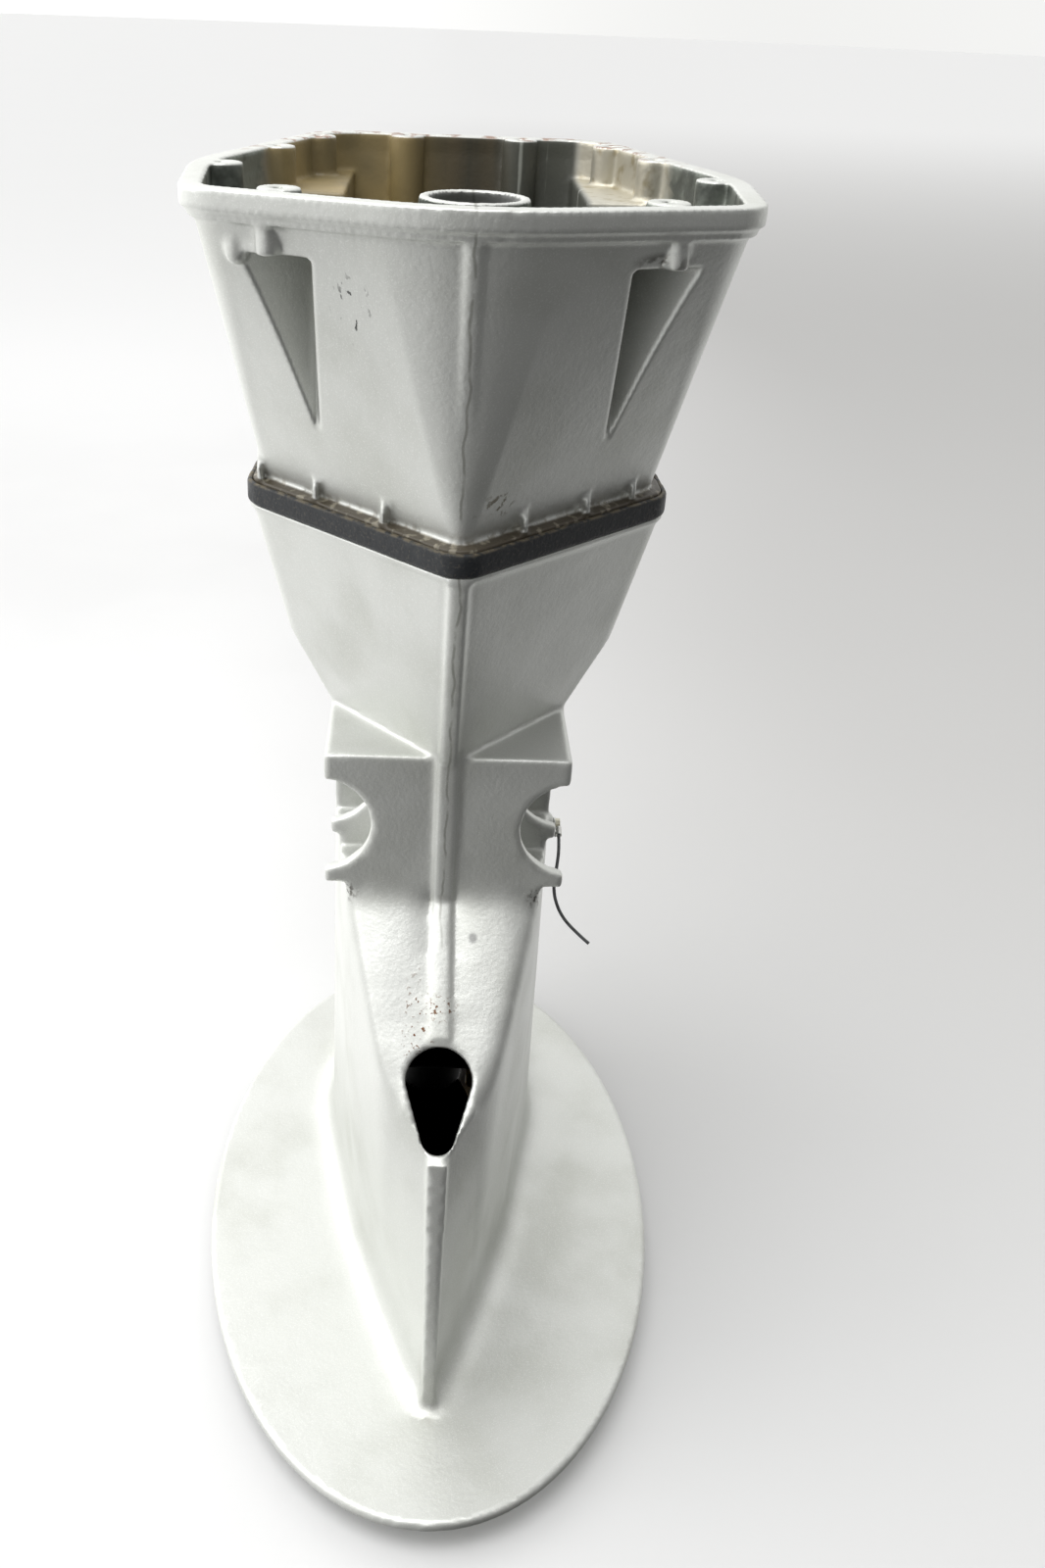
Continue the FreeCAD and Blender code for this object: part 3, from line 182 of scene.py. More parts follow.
class Shader:
    """A procedural material, with short ways to add the nodes that the materials share."""

    def __init__(self, name, roughness=0.5, metallic=0.0):
        self.material = bpy.data.materials.new(name)
        self.material.use_nodes = True
        self.tree = self.material.node_tree
        self.surface = self.tree.nodes["Principled BSDF"]
        self.surface.inputs["Roughness"].default_value = roughness
        self.surface.inputs["Metallic"].default_value = metallic
        self.place = self.node("ShaderNodeTexCoord").outputs["Object"]

    def feed(self, socket, value):
        if isinstance(value, bpy.types.NodeSocket):
            self.tree.links.new(value, socket)
        elif isinstance(value, tuple) and socket.type == "RGBA":
            socket.default_value = (*value, 1)
        else:
            socket.default_value = value

    def node(self, kind, inputs=None, **settings):
        made = self.tree.nodes.new(kind)
        for name, value in settings.items():
            setattr(made, name, value)
        for name, value in (inputs or {}).items():
            self.feed(made.inputs[name], value)
        return made

    def math(self, operation, first, second=0.0, clamp=False):
        return self.node("ShaderNodeMath", {0: first, 1: second}, operation=operation, use_clamp=clamp).outputs[0]

    def times(self, *values):
        product = values[0]
        for value in values[1:]:
            product = self.math("MULTIPLY", product, value)
        return product

    def stretched(self, stretch, offset=(0, 0, 0)):
        return self.node("ShaderNodeMapping", {"Vector": self.place, "Scale": stretch, "Location": offset}).outputs[0]

    def noise(self, scale, detail=3.0, at=None, distortion=0.0):
        values = {"Vector": at or self.place, "Scale": scale, "Detail": detail, "Distortion": distortion}
        return self.node("ShaderNodeTexNoise", values).outputs[0]

    def step(self, value, low, high):
        """0 below low, 1 above high, smooth between; falling where low is the larger."""
        values = {"Value": value, "From Min": low, "From Max": high}
        return self.node("ShaderNodeMapRange", values, interpolation_type="SMOOTHSTEP").outputs[0]

    def mix(self, first, second, share):
        made = self.node("ShaderNodeMix", {0: share}, data_type="RGBA")
        self.feed(made.inputs[6], first)
        self.feed(made.inputs[7], second)
        return made.outputs[2]

    def axis(self, letter):
        return self.node("ShaderNodeSeparateXYZ", {0: self.place}).outputs[letter]

    def attribute(self, name):
        return self.node("ShaderNodeAttribute", attribute_name=name).outputs["Fac"]

    def patch(self, centre, reach):
        """1 at centre, falling to 0 at reach from it along each axis."""
        away = self.node("ShaderNodeVectorMath", {0: self.place, 1: tuple(centre)}, operation="SUBTRACT").outputs[0]
        share = self.node("ShaderNodeVectorMath", {0: away, 1: tuple(reach)}, operation="DIVIDE").outputs[0]
        length = self.node("ShaderNodeVectorMath", {0: share}, operation="LENGTH").outputs["Value"]
        return self.step(length, 1.0, 0.35)

    def bump(self, height, distance, before=None):
        values = {"Height": height, "Distance": distance}
        if before is not None:
            values["Normal"] = before
        return self.node("ShaderNodeBump", values).outputs[0]

    def finish(self, colour, roughness=None, normal=None, metallic=None):
        self.feed(self.surface.inputs["Base Color"], colour)
        if roughness is not None:
            self.feed(self.surface.inputs["Roughness"], roughness)
        if normal is not None:
            self.feed(self.surface.inputs["Normal"], normal)
        if metallic is not None:
            self.feed(self.surface.inputs["Metallic"], metallic)
        return self.material


# ---------------------------------------------------------------- materials

SILVER = (0.68, 0.69, 0.665)
SILVER_DULL = (0.60, 0.61, 0.575)
METAL_SHARE = 0.75
GRIME = (0.060, 0.050, 0.036)
RUST_DIRT = (0.16, 0.075, 0.035)


def speckle(shader, scale, low, high, at=None):
    return shader.step(shader.noise(scale, 4.0, at), low, high)


def silver_base(shader):
    """Sprayed metallic paint over a die casting: clouding, flake and dust nibs."""
    cloud = shader.noise(18, 4.0)
    flake = shader.noise(1400, 2.0)
    tone = shader.mix(SILVER, SILVER_DULL, shader.step(cloud, 0.42, 0.75))
    tone = shader.mix(tone, (0.88, 0.885, 0.87), shader.times(shader.step(flake, 0.54, 0.70), 0.42))
    return tone


def paint_relief(shader):
    orange_peel = shader.bump(shader.noise(420, 3.0), 0.00014)
    return shader.bump(shader.noise(70, 2.0), 0.00022, orange_peel)


def marks_on_leg(shader, tone):
    """Grime under the block's corners, rust-coloured specks beside the keel and rubbed edges."""
    corners = [(-58 * MM, -42 * MM, BLOCK_FOOT - 6 * MM), (57 * MM, -42 * MM, BLOCK_FOOT - 7 * MM)]
    for corner in corners:
        spots = shader.times(shader.patch(corner, (0.014, 0.02, 0.010)), speckle(shader, 380, 0.50, 0.60))
        tone = shader.mix(tone, GRIME, shader.times(spots, 0.85))
    beside_keel = shader.times(shader.patch((-12 * MM, -105 * MM, 0.235), (0.012, 0.05, 0.045)),
                               speckle(shader, 420, 0.60, 0.66))
    tone = shader.mix(tone, RUST_DIRT, beside_keel)
    above_outlet = shader.times(shader.patch((0, -95 * MM, 0.245), (0.016, 0.012, 0.010)),
                                speckle(shader, 520, 0.56, 0.63))
    tone = shader.mix(tone, RUST_DIRT, above_outlet)
    chip = shader.times(shader.patch((17 * MM, -55 * MM, 0.269), (0.0035, 0.05, 0.003)), 0.7)
    return shader.mix(tone, (0.20, 0.20, 0.20), chip)


def parting_line(shader):
    """The uneven line that the die left along the ridge of both castings, at the rear."""
    wander = shader.times(shader.math("SUBTRACT", shader.noise(30, 3.0, shader.stretched((0, 0, 1))), 0.5), 0.010)
    away = shader.math("ABSOLUTE", shader.math("ADD", shader.axis("X"), wander))
    line = shader.times(shader.step(away, 0.9 * MM, 0.3 * MM), shader.step(shader.axis("Y"), -0.030, -0.034))
    return shader.times(line, shader.step(shader.axis("Z"), BLOCK_FOOT - 0.05, BLOCK_FOOT),
                        speckle(shader, 60, 0.36, 0.52))


def foot_grime(shader):
    """Dirt in the corner over the rubber strip."""
    return shader.times(shader.step(shader.axis("Z"), JOINT_TOP + 2.8 * MM, JOINT_TOP + 1.5 * MM),
                        shader.step(shader.axis("Z"), JOINT_TOP - 4 * MM, JOINT_TOP - 2 * MM))


def marks_on_case(shader, tone):
    """Dark scratches on the left panel and stains low on the right one."""
    scratches = shader.times(shader.patch((-50 * MM, -105 * MM, 0.606), (0.012, 0.03, 0.022)),
                             speckle(shader, 1, 0.62, 0.66, shader.stretched((420, 420, 150))))
    tone = shader.mix(tone, (0.035, 0.035, 0.035), scratches)
    stain = shader.times(shader.patch((8 * MM, -108 * MM, 0.520), (0.012, 0.02, 0.010)),
                         speckle(shader, 260, 0.55, 0.62))
    tone = shader.mix(tone, (0.22, 0.19, 0.12), shader.times(stain, 0.8))
    ring = shader.times(shader.patch((17 * MM, -95 * MM, 0.524), (0.010, 0.05, 0.010)),
                        speckle(shader, 230, 0.52, 0.60))
    tone = shader.mix(tone, (0.15, 0.125, 0.08), shader.times(ring, 0.8))
    recess = shader.times(shader.patch((78 * MM, -70 * MM, 0.631), (0.017, 0.06, 0.006)),
                          speckle(shader, 150, 0.42, 0.54))
    tone = shader.mix(tone, GRIME, shader.times(recess, 0.85))
    foot = shader.times(shader.step(shader.axis("Z"), JOINT_TOP + 7 * MM, JOINT_TOP),
                        shader.step(shader.axis("Z"), JOINT_TOP - 4 * MM, JOINT_TOP - 2 * MM))
    splash = shader.times(foot, speckle(shader, 210, 0.46, 0.64))
    return shader.mix(tone, (0.20, 0.17, 0.11), shader.times(splash, 0.8))


def silver_casting():
    shader = Shader("silver_casting", 0.40, METAL_SHARE)
    tone = silver_base(shader)
    tone = marks_on_leg(shader, tone)
    tone = marks_on_case(shader, tone)
    tone = shader.mix(tone, (0.20, 0.195, 0.165), shader.times(parting_line(shader), 0.5))
    grime = foot_grime(shader)
    grime_tone = shader.mix((0.075, 0.062, 0.042), (0.26, 0.235, 0.18), speckle(shader, 170, 0.52, 0.66))
    tone = shader.mix(tone, grime_tone, grime)
    # partly painted shade: concave creases are darkened as if in shade, broken up with speckle like grime
    crevice_shade_and_grime = shader.times(shader.step(shader.attribute("crevice_shade_and_grime"), 0.35, 1.0), speckle(shader, 90, 0.30, 0.70))
    tone = shader.mix(tone, (0.34, 0.33, 0.28), shader.times(crevice_shade_and_grime, 0.30))
    soot = shader.attribute("soot")
    tone = shader.mix(tone, (0.007, 0.007, 0.008), soot)
    pale = shader.attribute("pale")
    pale_tone = shader.mix((0.25, 0.27, 0.24), (0.12, 0.13, 0.115), speckle(shader, 60, 0.42, 0.62))
    tone = shader.mix(tone, pale_tone, pale)
    across = shader.axis("X")
    streaks = shader.noise(1, 4.0, shader.stretched((110, 110, 9)))
    clouds = shader.noise(22, 2.0)
    gold = shader.mix((0.33, 0.25, 0.11), (0.20, 0.16, 0.08), shader.step(clouds, 0.35, 0.70))
    olive = shader.mix((0.085, 0.068, 0.040), (0.050, 0.045, 0.030), shader.step(streaks, 0.30, 0.70))
    black = shader.mix((0.080, 0.083, 0.070), (0.30, 0.31, 0.28), shader.step(streaks, 0.63, 0.70))
    varnish_tone = shader.mix(gold, olive, shader.step(across, -0.045, 0.0))
    varnish_tone = shader.mix(varnish_tone, black, shader.step(across, 0.010, 0.034))
    varnish = shader.attribute("varnish")
    tone = shader.mix(tone, varnish_tone, varnish)
    cream = shader.mix((0.56, 0.53, 0.44), (0.40, 0.35, 0.24), speckle(shader, 90, 0.50, 0.66))
    tone = shader.mix(tone, cream, shader.attribute("cream"))
    residue = shader.times(shader.attribute("machined"), speckle(shader, 95, 0.50, 0.60),
                           shader.step(shader.axis("Y"), 0.02, 0.14))
    tone = shader.mix(tone, (0.30, 0.17, 0.12), shader.times(residue, 0.85))
    rough = shader.math("ADD", 0.40, shader.times(shader.noise(35, 3.0), 0.12))
    rough = shader.math("ADD", rough, shader.times(soot, 0.35), clamp=True)
    bare = shader.math("ADD", shader.math("ADD", soot, varnish), grime, clamp=True)
    metal = shader.math("MULTIPLY", METAL_SHARE, shader.math("SUBTRACT", 1.0, bare))
    return shader.finish(tone, rough, paint_relief(shader), metal)


def black_rubber():
    shader = Shader("black_rubber", 0.62)
    shader.surface.inputs["Specular IOR Level"].default_value = 0.4
    # partly dust, partly painted sheen: the lighter grey-blue tone also stands in for the rubber's soft highlights
    dust_and_sheen = shader.step(shader.noise(120, 5.0), 0.48, 0.72)
    fine = speckle(shader, 700, 0.55, 0.68)
    tone = shader.mix((0.018, 0.020, 0.023), (0.065, 0.068, 0.070), shader.times(dust_and_sheen, 0.6))
    tone = shader.mix(tone, (0.16, 0.14, 0.11), shader.times(fine, 0.22))
    top = shader.times(shader.step(shader.axis("Z"), JOINT_TOP - 1.6 * MM, JOINT_TOP - 0.2 * MM),
                       speckle(shader, 190, 0.40, 0.60))
    tone = shader.mix(tone, (0.17, 0.14, 0.09), shader.times(top, 0.75))
    rough = shader.math("ADD", 0.5, shader.times(dust_and_sheen, 0.3))
    return shader.finish(tone, rough, shader.bump(shader.noise(500, 4.0), 0.0003))


def metal(name, light, dark, roughness, grain, brushed=(1, 1, 1)):
    """Bare or plated metal with clouding, a fine lay and darker tarnish."""
    shader = Shader(name, roughness, 1.0)
    lay = shader.noise(1, 3.0, shader.stretched(tuple(grain * share for share in brushed)))
    tarnish = shader.step(shader.noise(90, 4.0), 0.45, 0.70)
    tone = shader.mix(light, dark, shader.times(tarnish, 0.8))
    rough = shader.math("ADD", roughness - 0.08, shader.times(lay, 0.22))
    return shader.finish(tone, rough, shader.bump(lay, 0.00006))


def foot_shade():
    shader = Shader("foot_shade", 1.0)
    shader.surface.inputs["Specular IOR Level"].default_value = 0.0
    # painted shadow: near black, standing in for the shaded floor seen through the open foot
    return shader.finish(shader.mix((0.002, 0.002, 0.003), (0.004, 0.004, 0.005), shader.noise(40)))


def exhaust_casting():
    shader = Shader("exhaust_casting", 0.8, 0.2)
    soot = shader.step(shader.noise(60, 5.0), 0.40, 0.65)
    tone = shader.mix((0.030, 0.026, 0.022), (0.010, 0.010, 0.010), soot)
    tone = shader.mix(tone, (0.10, 0.09, 0.08), shader.times(speckle(shader, 300, 0.66, 0.72), 0.4))
    return shader.finish(tone, None, shader.bump(shader.noise(260, 4.0), 0.0006))


def gasket_sheet():
    shader = Shader("gasket_sheet", 0.85)
    fibre = shader.noise(1, 4.0, shader.stretched((900, 500, 300)))
    tone = shader.mix((0.10, 0.095, 0.09), (0.20, 0.185, 0.16), shader.step(fibre, 0.40, 0.62))
    return shader.finish(tone, None, shader.bump(fibre, 0.0001))


def bush_plastic():
    shader = Shader("bush_plastic", 0.55)
    tone = shader.mix((0.030, 0.030, 0.030), (0.075, 0.072, 0.066), shader.step(shader.noise(200, 4.0), 0.45, 0.66))
    return shader.finish(tone, None, shader.bump(shader.noise(650, 3.0), 0.0001))


def grey_insulation():
    shader = Shader("grey_insulation", 0.42)
    grime = shader.step(shader.noise(300, 4.0), 0.45, 0.66)
    tone = shader.mix((0.115, 0.12, 0.125), (0.045, 0.044, 0.042), shader.times(grime, 0.7))
    return shader.finish(tone, None, shader.bump(shader.noise(1500, 2.0), 0.00005))


def floor_card():
    shader = Shader("floor_card", 0.75)
    shader.surface.inputs["Specular IOR Level"].default_value = 0.2
    cloud = shader.step(shader.noise(2.2, 3.0), 0.40, 0.65)
    # painted shade: the floor is darker towards the right and the back, standing in for the studio light falling off
    # there
    side = shader.step(shader.axis("X"), -0.35, 0.55)
    far = shader.step(shader.axis("Y"), -0.3, 0.7)
    tone = shader.mix((0.80, 0.80, 0.805), (0.77, 0.77, 0.775), cloud)
    tone = shader.mix(tone, (0.64, 0.64, 0.64), shader.times(side, 0.7))
    tone = shader.mix(tone, (0.50, 0.495, 0.49), shader.times(side, far, 0.75))
    # painted light: the floor is lighter on the far left and towards the horizon, standing in for the brightly lit
    # backdrop
    left = shader.times(shader.step(shader.axis("Y"), 0.9, 2.5), shader.step(shader.axis("X"), 0.9, -0.6))
    horizon = shader.step(shader.axis("Y"), 2.5, 10.0)
    tone = shader.mix(tone, (0.97, 0.97, 0.98), shader.times(shader.math("MAXIMUM", left, horizon), 0.9))
    return shader.finish(tone, None, shader.bump(shader.noise(90, 4.0), 0.0002))


# ---------------------------------------------------------------- mesh tools

def mesh_object(name, mesh, body="root", material=None):
    piece = bpy.data.objects.new(name, mesh)
    bpy.context.scene.collection.objects.link(piece)
    if material is not None:
        piece.data.materials.clear()
        piece.data.materials.append(material)
    if body is not None:
        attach(piece, body)
    return piece


def shade_smooth(mesh):
    mesh.polygons.foreach_set("use_smooth", np.ones(len(mesh.polygons), bool))


def points_of(mesh):
    points = np.empty(len(mesh.vertices) * 3)
    mesh.vertices.foreach_get("co", points)
    return points.reshape(-1, 3)


def put_points(mesh, points):
    mesh.vertices.foreach_set("co", points.ravel())
    mesh.update()


def normals_of(mesh):
    normals = np.empty(len(mesh.vertices) * 3)
    mesh.vertex_normals.foreach_get("vector", normals)
    return normals.reshape(-1, 3)


def edges_of(mesh):
    edges = np.empty(len(mesh.edges) * 2, int)
    mesh.edges.foreach_get("vertices", edges)
    return edges.reshape(-1, 2)


def neighbour_mean(points, edges, count):
    """The middle of each point's neighbours."""
    first, second = edges[:, 0], edges[:, 1]
    degree = np.bincount(first, minlength=count) + np.bincount(second, minlength=count)
    total = np.empty((count, 3))
    for axis in range(3):
        total[:, axis] = (np.bincount(first, points[second, axis], count)
                          + np.bincount(second, points[first, axis], count))
    return total / np.maximum(degree, 1)[:, None]


def smooth(points, edges, share, passes):
    """Moves each point towards its neighbours' middle, by its own share."""
    for _ in range(passes):
        points = points + (neighbour_mean(points, edges, len(points)) - points) * share[:, None]
    return points


def remeshed(node, voxel):
    """A voxel remesh of a CAD node's mesh, as a new mesh."""
    piece = bpy.data.objects.new("remesh", NODES[node].data.copy())
    bpy.context.scene.collection.objects.link(piece)
    change = piece.modifiers.new("voxels", "REMESH")
    change.mode = "VOXEL"
    change.voxel_size = voxel
    mesh = bpy.data.meshes.new_from_object(piece.evaluated_get(bpy.context.evaluated_depsgraph_get()))
    bpy.data.objects.remove(piece)
    return mesh


def thinned(mesh, faces):
    """The mesh collapsed to about that many triangles."""
    piece = bpy.data.objects.new("thin", mesh)
    bpy.context.scene.collection.objects.link(piece)
    change = piece.modifiers.new("thin", "DECIMATE")
    change.ratio = min(1.0, faces / (2 * len(mesh.polygons)))
    made = bpy.data.meshes.new_from_object(piece.evaluated_get(bpy.context.evaluated_depsgraph_get()))
    bpy.data.objects.remove(piece)
    return made


def even_shading(piece):
    """Shades the collapsed mesh by its large flat faces, so that they stay flat."""
    change = piece.modifiers.new("even", "WEIGHTED_NORMAL")
    change.mode = "FACE_AREA"
    change.weight = 60
    change.keep_sharp = False


def flattened(points, normals, height, reach):
    """Puts the points near a machined level face onto it."""
    close = (np.abs(points[:, 2] - height) < reach) & (np.abs(normals[:, 2]) > 0.97)
    points[close, 2] = height
    return points


def falloff(distance, full, none):
    """1 up to full, 0 from none on, smooth between."""
    share = np.clip((none - distance) / (none - full), 0, 1)
    return share * share * (3 - 2 * share)


def set_attribute(mesh, name, values):
    layer = mesh.attributes.new(name, "FLOAT", "POINT")
    layer.data.foreach_set("value", np.clip(values, 0, 1).astype(np.float32))


def enclosed(mesh, points, normals):
    """1 for points with a wall on all four sides, such as those inside the castings."""
    tree = BVHTree.FromPolygons([tuple(p) for p in points], [tuple(f.vertices) for f in mesh.polygons])
    inside = np.zeros(len(points))
    start_gap = 1.2 * MM
    for index, (point, normal) in enumerate(zip(points, normals)):
        start = Vector(point + normal * start_gap)
        inside[index] = all(tree.ray_cast(start, Vector(way), 0.4)[0] is not None
                            for way in ((1, 0, 0), (-1, 0, 0), (0, 1, 0), (0, -1, 0)))
    return inside


def crevices(points, normals, edges):
    """How hollow the surface is at each point, 0 to 1, over a few millimetres."""
    wide = smooth(points, edges, np.full(len(points), 0.5), 6)
    return np.clip(((wide - points) * normals).sum(1) / (0.8 * MM), 0, 1)


# ---------------------------------------------------------------- the two castings and the rubber strip

# under the 200,000 at which the export thins a mesh itself
CASTING_FACES = 195000             # triangles left in each casting after the collapse
LEG_VOXEL = 1.7 * MM
CASE_VOXEL = 1.3 * MM
STRIP_VOXEL = 0.8 * MM
SLOPE_PASSES = 60
ROOT_PASSES = 70
STRIP_PASSES = 12
FIRST_SMOOTHING = 0.45
FLAT_REACH = 0.6 * MM
BLEND_LIFT = 4.5 * MM              # how far the hollow stands out from the sloped face at its head
BLEND_FALL = 50 * MM               # and how far down it has faded
BLEND_REACH = 16 * MM


def slope_softness(points):
    """How much each point of the leg casting is smoothed: along the sloped face's edges and under the block."""
    x, y, z = points.T
    along = (SLOPE_HEAD - SLOPE_FOOT).normalized()
    depth = np.abs((y - SLOPE_FOOT.y) * -along.z + (z - SLOPE_FOOT.z) * along.y)
    near_slope = falloff(depth, 16 * MM, 28 * MM)
    height = z - BLOCK_FOOT
    below_block = falloff(height, -9 * MM, -2 * MM)
    blend = falloff(height, 16 * MM, 26 * MM) * falloff(np.abs(x), 36 * MM, 48 * MM)
    above_fin = 1 - falloff(z - SLOPE_FOOT.z, 2 * MM, 14 * MM)
    from_outlet = np.sqrt(x ** 2 + (y - OUTLET_MIDDLE.y) ** 2 + (z - OUTLET_MIDDLE.z) ** 2)
    away = 1 - falloff(from_outlet, 36 * MM, 44 * MM) * falloff(np.abs(x), 19 * MM, 24 * MM)
    beside_keel = 1 - falloff(np.abs(x), 7 * MM, 11 * MM)
    return near_slope * np.maximum(below_block, blend) * above_fin * away * beside_keel


def slope_blend(points, normals):
    """Runs the sloped face up into the block's rear face in one wide hollow, over the line where their planes meet."""
    x, y, z = points.T
    rise = SLOPE_HEAD.z - z
    block = -SLOPE_HEAD.y
    slope = block + rise * (SLOPE_HEAD.y - SLOPE_FOOT.y) / (SLOPE_HEAD.z - SLOPE_FOOT.z)
    lifted = slope + BLEND_LIFT * np.clip(1 - rise / BLEND_FALL, 0, 1)
    share = np.clip(0.5 + 0.5 * (lifted - block) / BLEND_REACH, 0, 1)
    wanted = lifted * share + block * (1 - share) + BLEND_REACH * share * (1 - share)
    off_face = np.abs(-y - np.maximum(block, slope))
    on_face = falloff(off_face, 1.5 * MM, 3 * MM) * (1 - falloff(-normals[:, 1], 0.2, 0.5))
    inside = falloff(np.abs(x), 38 * MM, 47 * MM) * (1 - falloff(np.abs(x), 8 * MM, 12 * MM))
    near = falloff(np.abs(rise), 48 * MM, 56 * MM)
    moved = points.copy()
    moved[:, 1] += on_face * inside * near * (-wanted - y)
    return moved


def root_softness(points):
    """How much each point is smoothed where the leg meets the splash plate."""
    x, y, z = points.T
    height = z - PLATE_TOP
    band = falloff(-height, 1.0 * MM, 2.5 * MM) * falloff(height, 14 * MM, 26 * MM)
    beside_fin = 1 - falloff(np.abs(x), 6 * MM, 10 * MM) * falloff(y, -150 * MM, -140 * MM)
    plate_share = np.hypot(x / CAD_BOX[1].x, y / CAD_BOX[1].y)
    return band * beside_fin * falloff(plate_share, 0.84, 0.90)


def rough_casting(node, voxel, level_faces):
    """The node's mesh with its edges softened and its machined faces level, with its points, normals and edges."""
    mesh = remeshed(node, voxel)
    points, edges = points_of(mesh), edges_of(mesh)
    points = smooth(points, edges, np.full(len(points), FIRST_SMOOTHING), 2)
    put_points(mesh, points)
    normals = normals_of(mesh)
    for height in level_faces:
        points = flattened(points, normals, height, FLAT_REACH)
    return mesh, points, normals, edges


def leg_casting(material):
    level_faces = (PLATE_LOW, PLATE_LOW + 15 * MM, PLATE_TOP)
    mesh, points, normals, edges = rough_casting("extension_case", LEG_VOXEL, level_faces)
    points = slope_blend(points, normals)
    points = smooth(points, edges, slope_softness(points) * 0.5, SLOPE_PASSES)
    points = smooth(points, edges, root_softness(points) * 0.5, ROOT_PASSES)
    put_points(mesh, points)
    mesh = thinned(mesh, CASTING_FACES)
    points, normals, edges = points_of(mesh), normals_of(mesh), edges_of(mesh)
    inside = enclosed(mesh, points, normals)
    set_attribute(mesh, "soot", inside)
    set_attribute(mesh, "crevice_shade_and_grime", crevices(points, normals, edges) * (1 - inside))
    shade_smooth(mesh)
    piece = mesh_object("extension_casting", mesh, "root", material)
    even_shading(piece)
    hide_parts("extension_case")


def passage_distance(points):
    """Distance from the exhaust passage's axis, which leans back as it rises."""
    share = np.clip((points[:, 2] - CASE_FLOOR) / (RIM_TOP - CASE_FLOOR), 0, 1)
    middle_y = PASSAGE_FOOT_Y + (PASSAGE_TOP_Y - PASSAGE_FOOT_Y) * share
    return np.hypot(points[:, 0], points[:, 1] - middle_y)


def case_casting(material):
    mesh, points, _, _ = rough_casting("oil_case", CASE_VOXEL, (RIM_TOP, CASE_FOOT))
    put_points(mesh, points)
    mesh = thinned(mesh, CASTING_FACES)
    points, normals, edges = points_of(mesh), normals_of(mesh), edges_of(mesh)
    x, y, z = points.T
    inside = enclosed(mesh, points, normals)
    top = (z > RIM_TOP - 0.4 * MM).astype(float)
    in_passage = falloff(passage_distance(points), PASSAGE_RADIUS + 0.5 * MM, PASSAGE_RADIUS + 1.5 * MM) * (1 - top)
    front = 1 - falloff(y, 68 * MM, 80 * MM)
    right_corner = (1 - falloff(x, 62 * MM, 68 * MM)) * front
    set_attribute(mesh, "soot", in_passage * 0.6)
    set_attribute(mesh, "varnish", inside * front * (1 - right_corner) * (1 - in_passage))
    set_attribute(mesh, "cream", inside * right_corner)
    set_attribute(mesh, "pale", inside * (1 - front) * (1 - in_passage))
    set_attribute(mesh, "machined", top)
    set_attribute(mesh, "crevice_shade_and_grime", crevices(points, normals, edges) * (1 - inside))
    shade_smooth(mesh)
    piece = mesh_object("oil_case_casting", mesh, "root", material)
    even_shading(piece)
    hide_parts("oil_case")


def rubber_strip(material):
    mesh = remeshed("seal_strip", STRIP_VOXEL)
    points, edges = points_of(mesh), edges_of(mesh)
    put_points(mesh, smooth(points, edges, np.full(len(points), 0.5), STRIP_PASSES))
    shade_smooth(mesh)
    piece = mesh_object("rubber_strip", mesh, "root", material)
    even_shading(piece)
    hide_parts("seal_strip")


# ---------------------------------------------------------------- bonding lead

LEAD_ROUTE = [
    (71.4, 38, 276),
    (71.2, 27, 272.5),
    (69.4, 18, 264),
    (67.6, 11, 253.5),
    (71.4, 5, 242.5),
    (79, 0, 234),
    (90, -6, 227),
]
LEAD_RADIUS = 1 * MM


def bonding_wire(material):
    curve = bpy.data.curves.new("bonding_wire", "CURVE")
    curve.dimensions = "3D"
    curve.bevel_depth = LEAD_RADIUS
    curve.bevel_resolution = 4
    curve.resolution_u = 16
    curve.use_fill_caps = True
    line = curve.splines.new("NURBS")
    line.points.add(len(LEAD_ROUTE) - 1)
    for point, place in zip(line.points, LEAD_ROUTE):
        point.co = (*(value * MM for value in place), 1)
    line.order_u = 3
    line.use_endpoint_u = True
    piece = bpy.data.objects.new("bonding_wire", curve)
    bpy.context.scene.collection.objects.link(piece)
    curve.materials.append(material)
    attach(piece, "root")
    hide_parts("bonding_lead")


# ---------------------------------------------------------------- floor

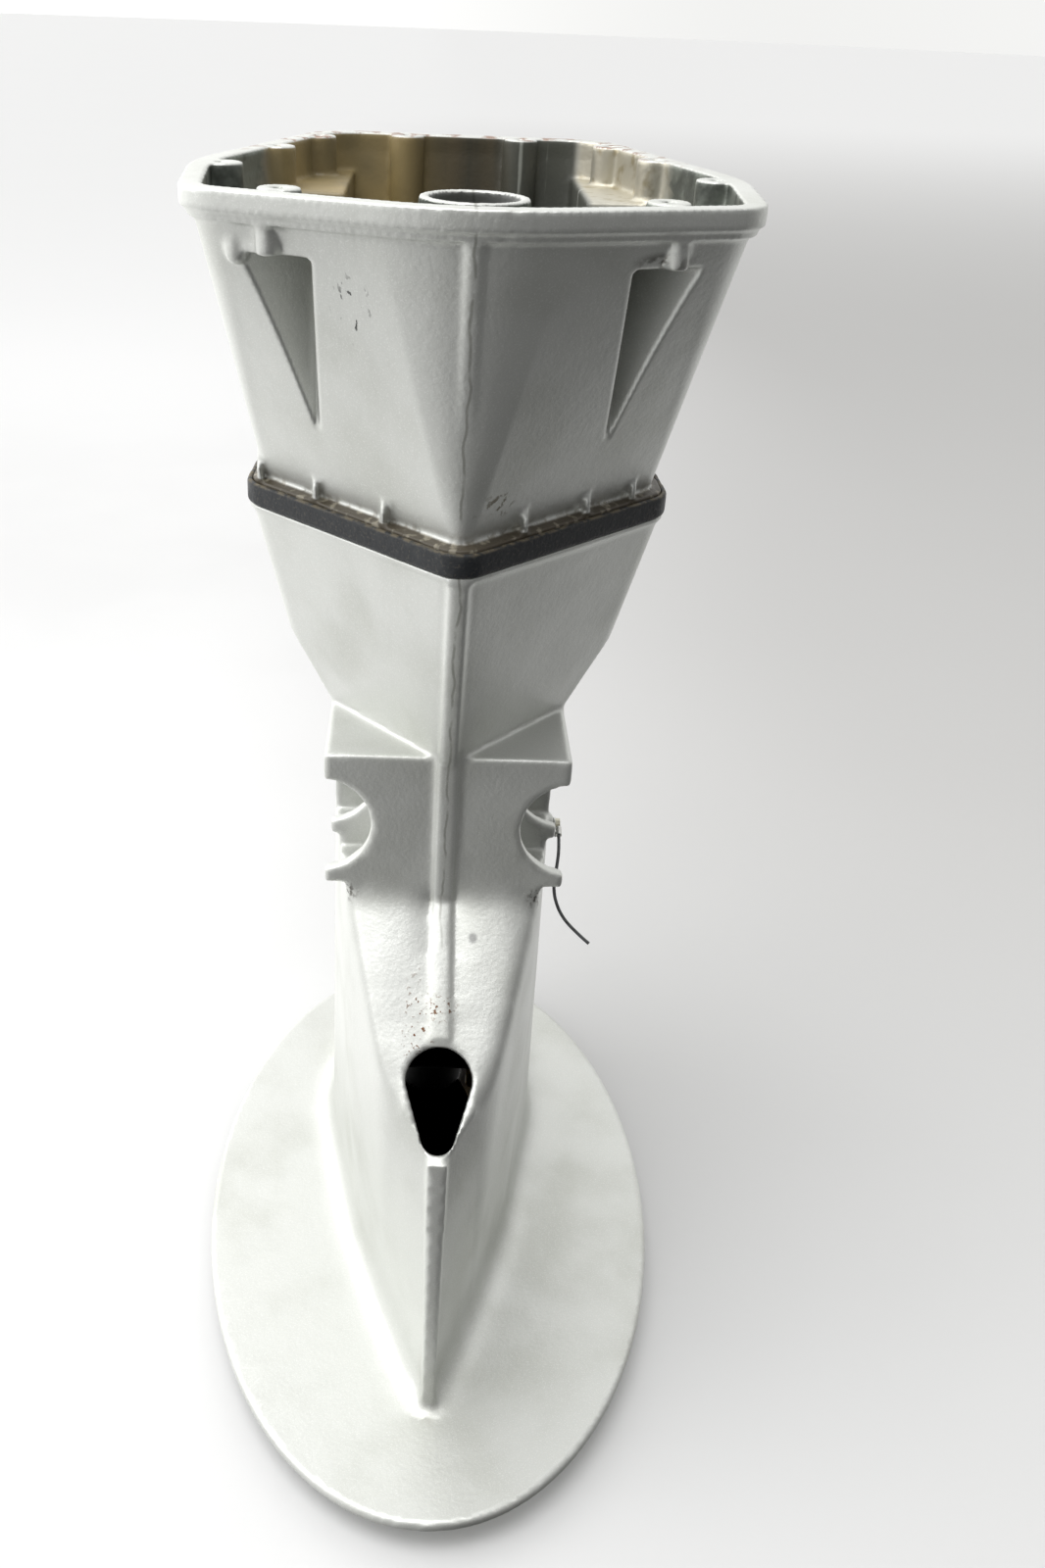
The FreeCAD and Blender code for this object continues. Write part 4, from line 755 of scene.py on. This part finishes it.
def make_floor(material):
    """A wide pale level floor, as far as the horizon."""
    mesh = bpy.data.meshes.new("floor")
    work = bmesh.new()
    sides = 96
    rows = []
    for radius in (0.5, 1.2, 2.4, 4.0, 9.0, 30.0):
        rows.append([work.verts.new((radius * math.cos(turn), radius * math.sin(turn), 0))
                     for turn in (2 * math.pi * side / sides for side in range(sides))])
    middle = work.verts.new((0, 0, 0))
    for side in range(sides):
        after = (side + 1) % sides
        work.faces.new((middle, rows[0][side], rows[0][after]))
        for inner, outer in zip(rows, rows[1:]):
            work.faces.new((inner[side], outer[side], outer[after], inner[after]))
    work.to_mesh(mesh)
    work.free()
    shade_smooth(mesh)
    floor = mesh_object("floor", mesh, None, material)
    floor.location.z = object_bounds()[0].z - 0.2 * MM
    floor.visible_diffuse = False
    floor.visible_glossy = False
    floor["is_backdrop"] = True


def make_floor_shade(material):
    """A dark round under the plate, so that no light comes up through the open foot; seen through the foot, its
    near-black colour is painted shadow on the floor.
    """
    mesh = bpy.data.meshes.new("floor_shade")
    work = bmesh.new()
    bmesh.ops.create_circle(work, cap_ends=True, segments=64, radius=1)
    work.to_mesh(mesh)
    work.free()
    shade = mesh_object("floor_shade", mesh, None, material)
    shade.scale = (CAD_BOX[1].x * 0.30, CAD_BOX[1].y * 0.62, 1)
    shade.location.z = CAD_BOX[0].z - 0.1 * MM
    shade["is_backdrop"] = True


# ---------------------------------------------------------------- assembly

def main():
    make_camera()
    make_light()
    make_floor(floor_card())
    make_floor_shade(foot_shade())
    bonding_wire(grey_insulation())
    silver = silver_casting()
    leg_casting(silver)
    case_casting(silver)
    rubber = black_rubber()
    rubber_strip(rubber)
    finishes = {
        "black_rubber": rubber,
        "gasket_sheet": gasket_sheet(),
        "plated_steel": metal("plated_steel", (0.62, 0.60, 0.50), (0.36, 0.32, 0.22), 0.38, 900),
        "plain_steel": metal("plain_steel", (0.58, 0.58, 0.59), (0.33, 0.31, 0.29), 0.32, 900, (1, 1, 6)),
        "exhaust_casting": exhaust_casting(),
        "tube_brass": metal("tube_brass", (0.62, 0.44, 0.20), (0.25, 0.17, 0.09), 0.34, 800, (1, 1, 0.1)),
        "drain_copper": metal("drain_copper", (0.72, 0.38, 0.22), (0.36, 0.18, 0.11), 0.36, 800),
        "bush_plastic": bush_plastic(),
        "tinned_terminal": metal("tinned_terminal", (0.68, 0.68, 0.66), (0.40, 0.39, 0.36), 0.36, 1100),
    }
    for part in frame["record"]["subparts"]:
        if part["material_slot"] in finishes:
            node = NODES[part["node"]]
            node.data.materials.clear()
            node.data.materials.append(finishes[part["material_slot"]])


main()
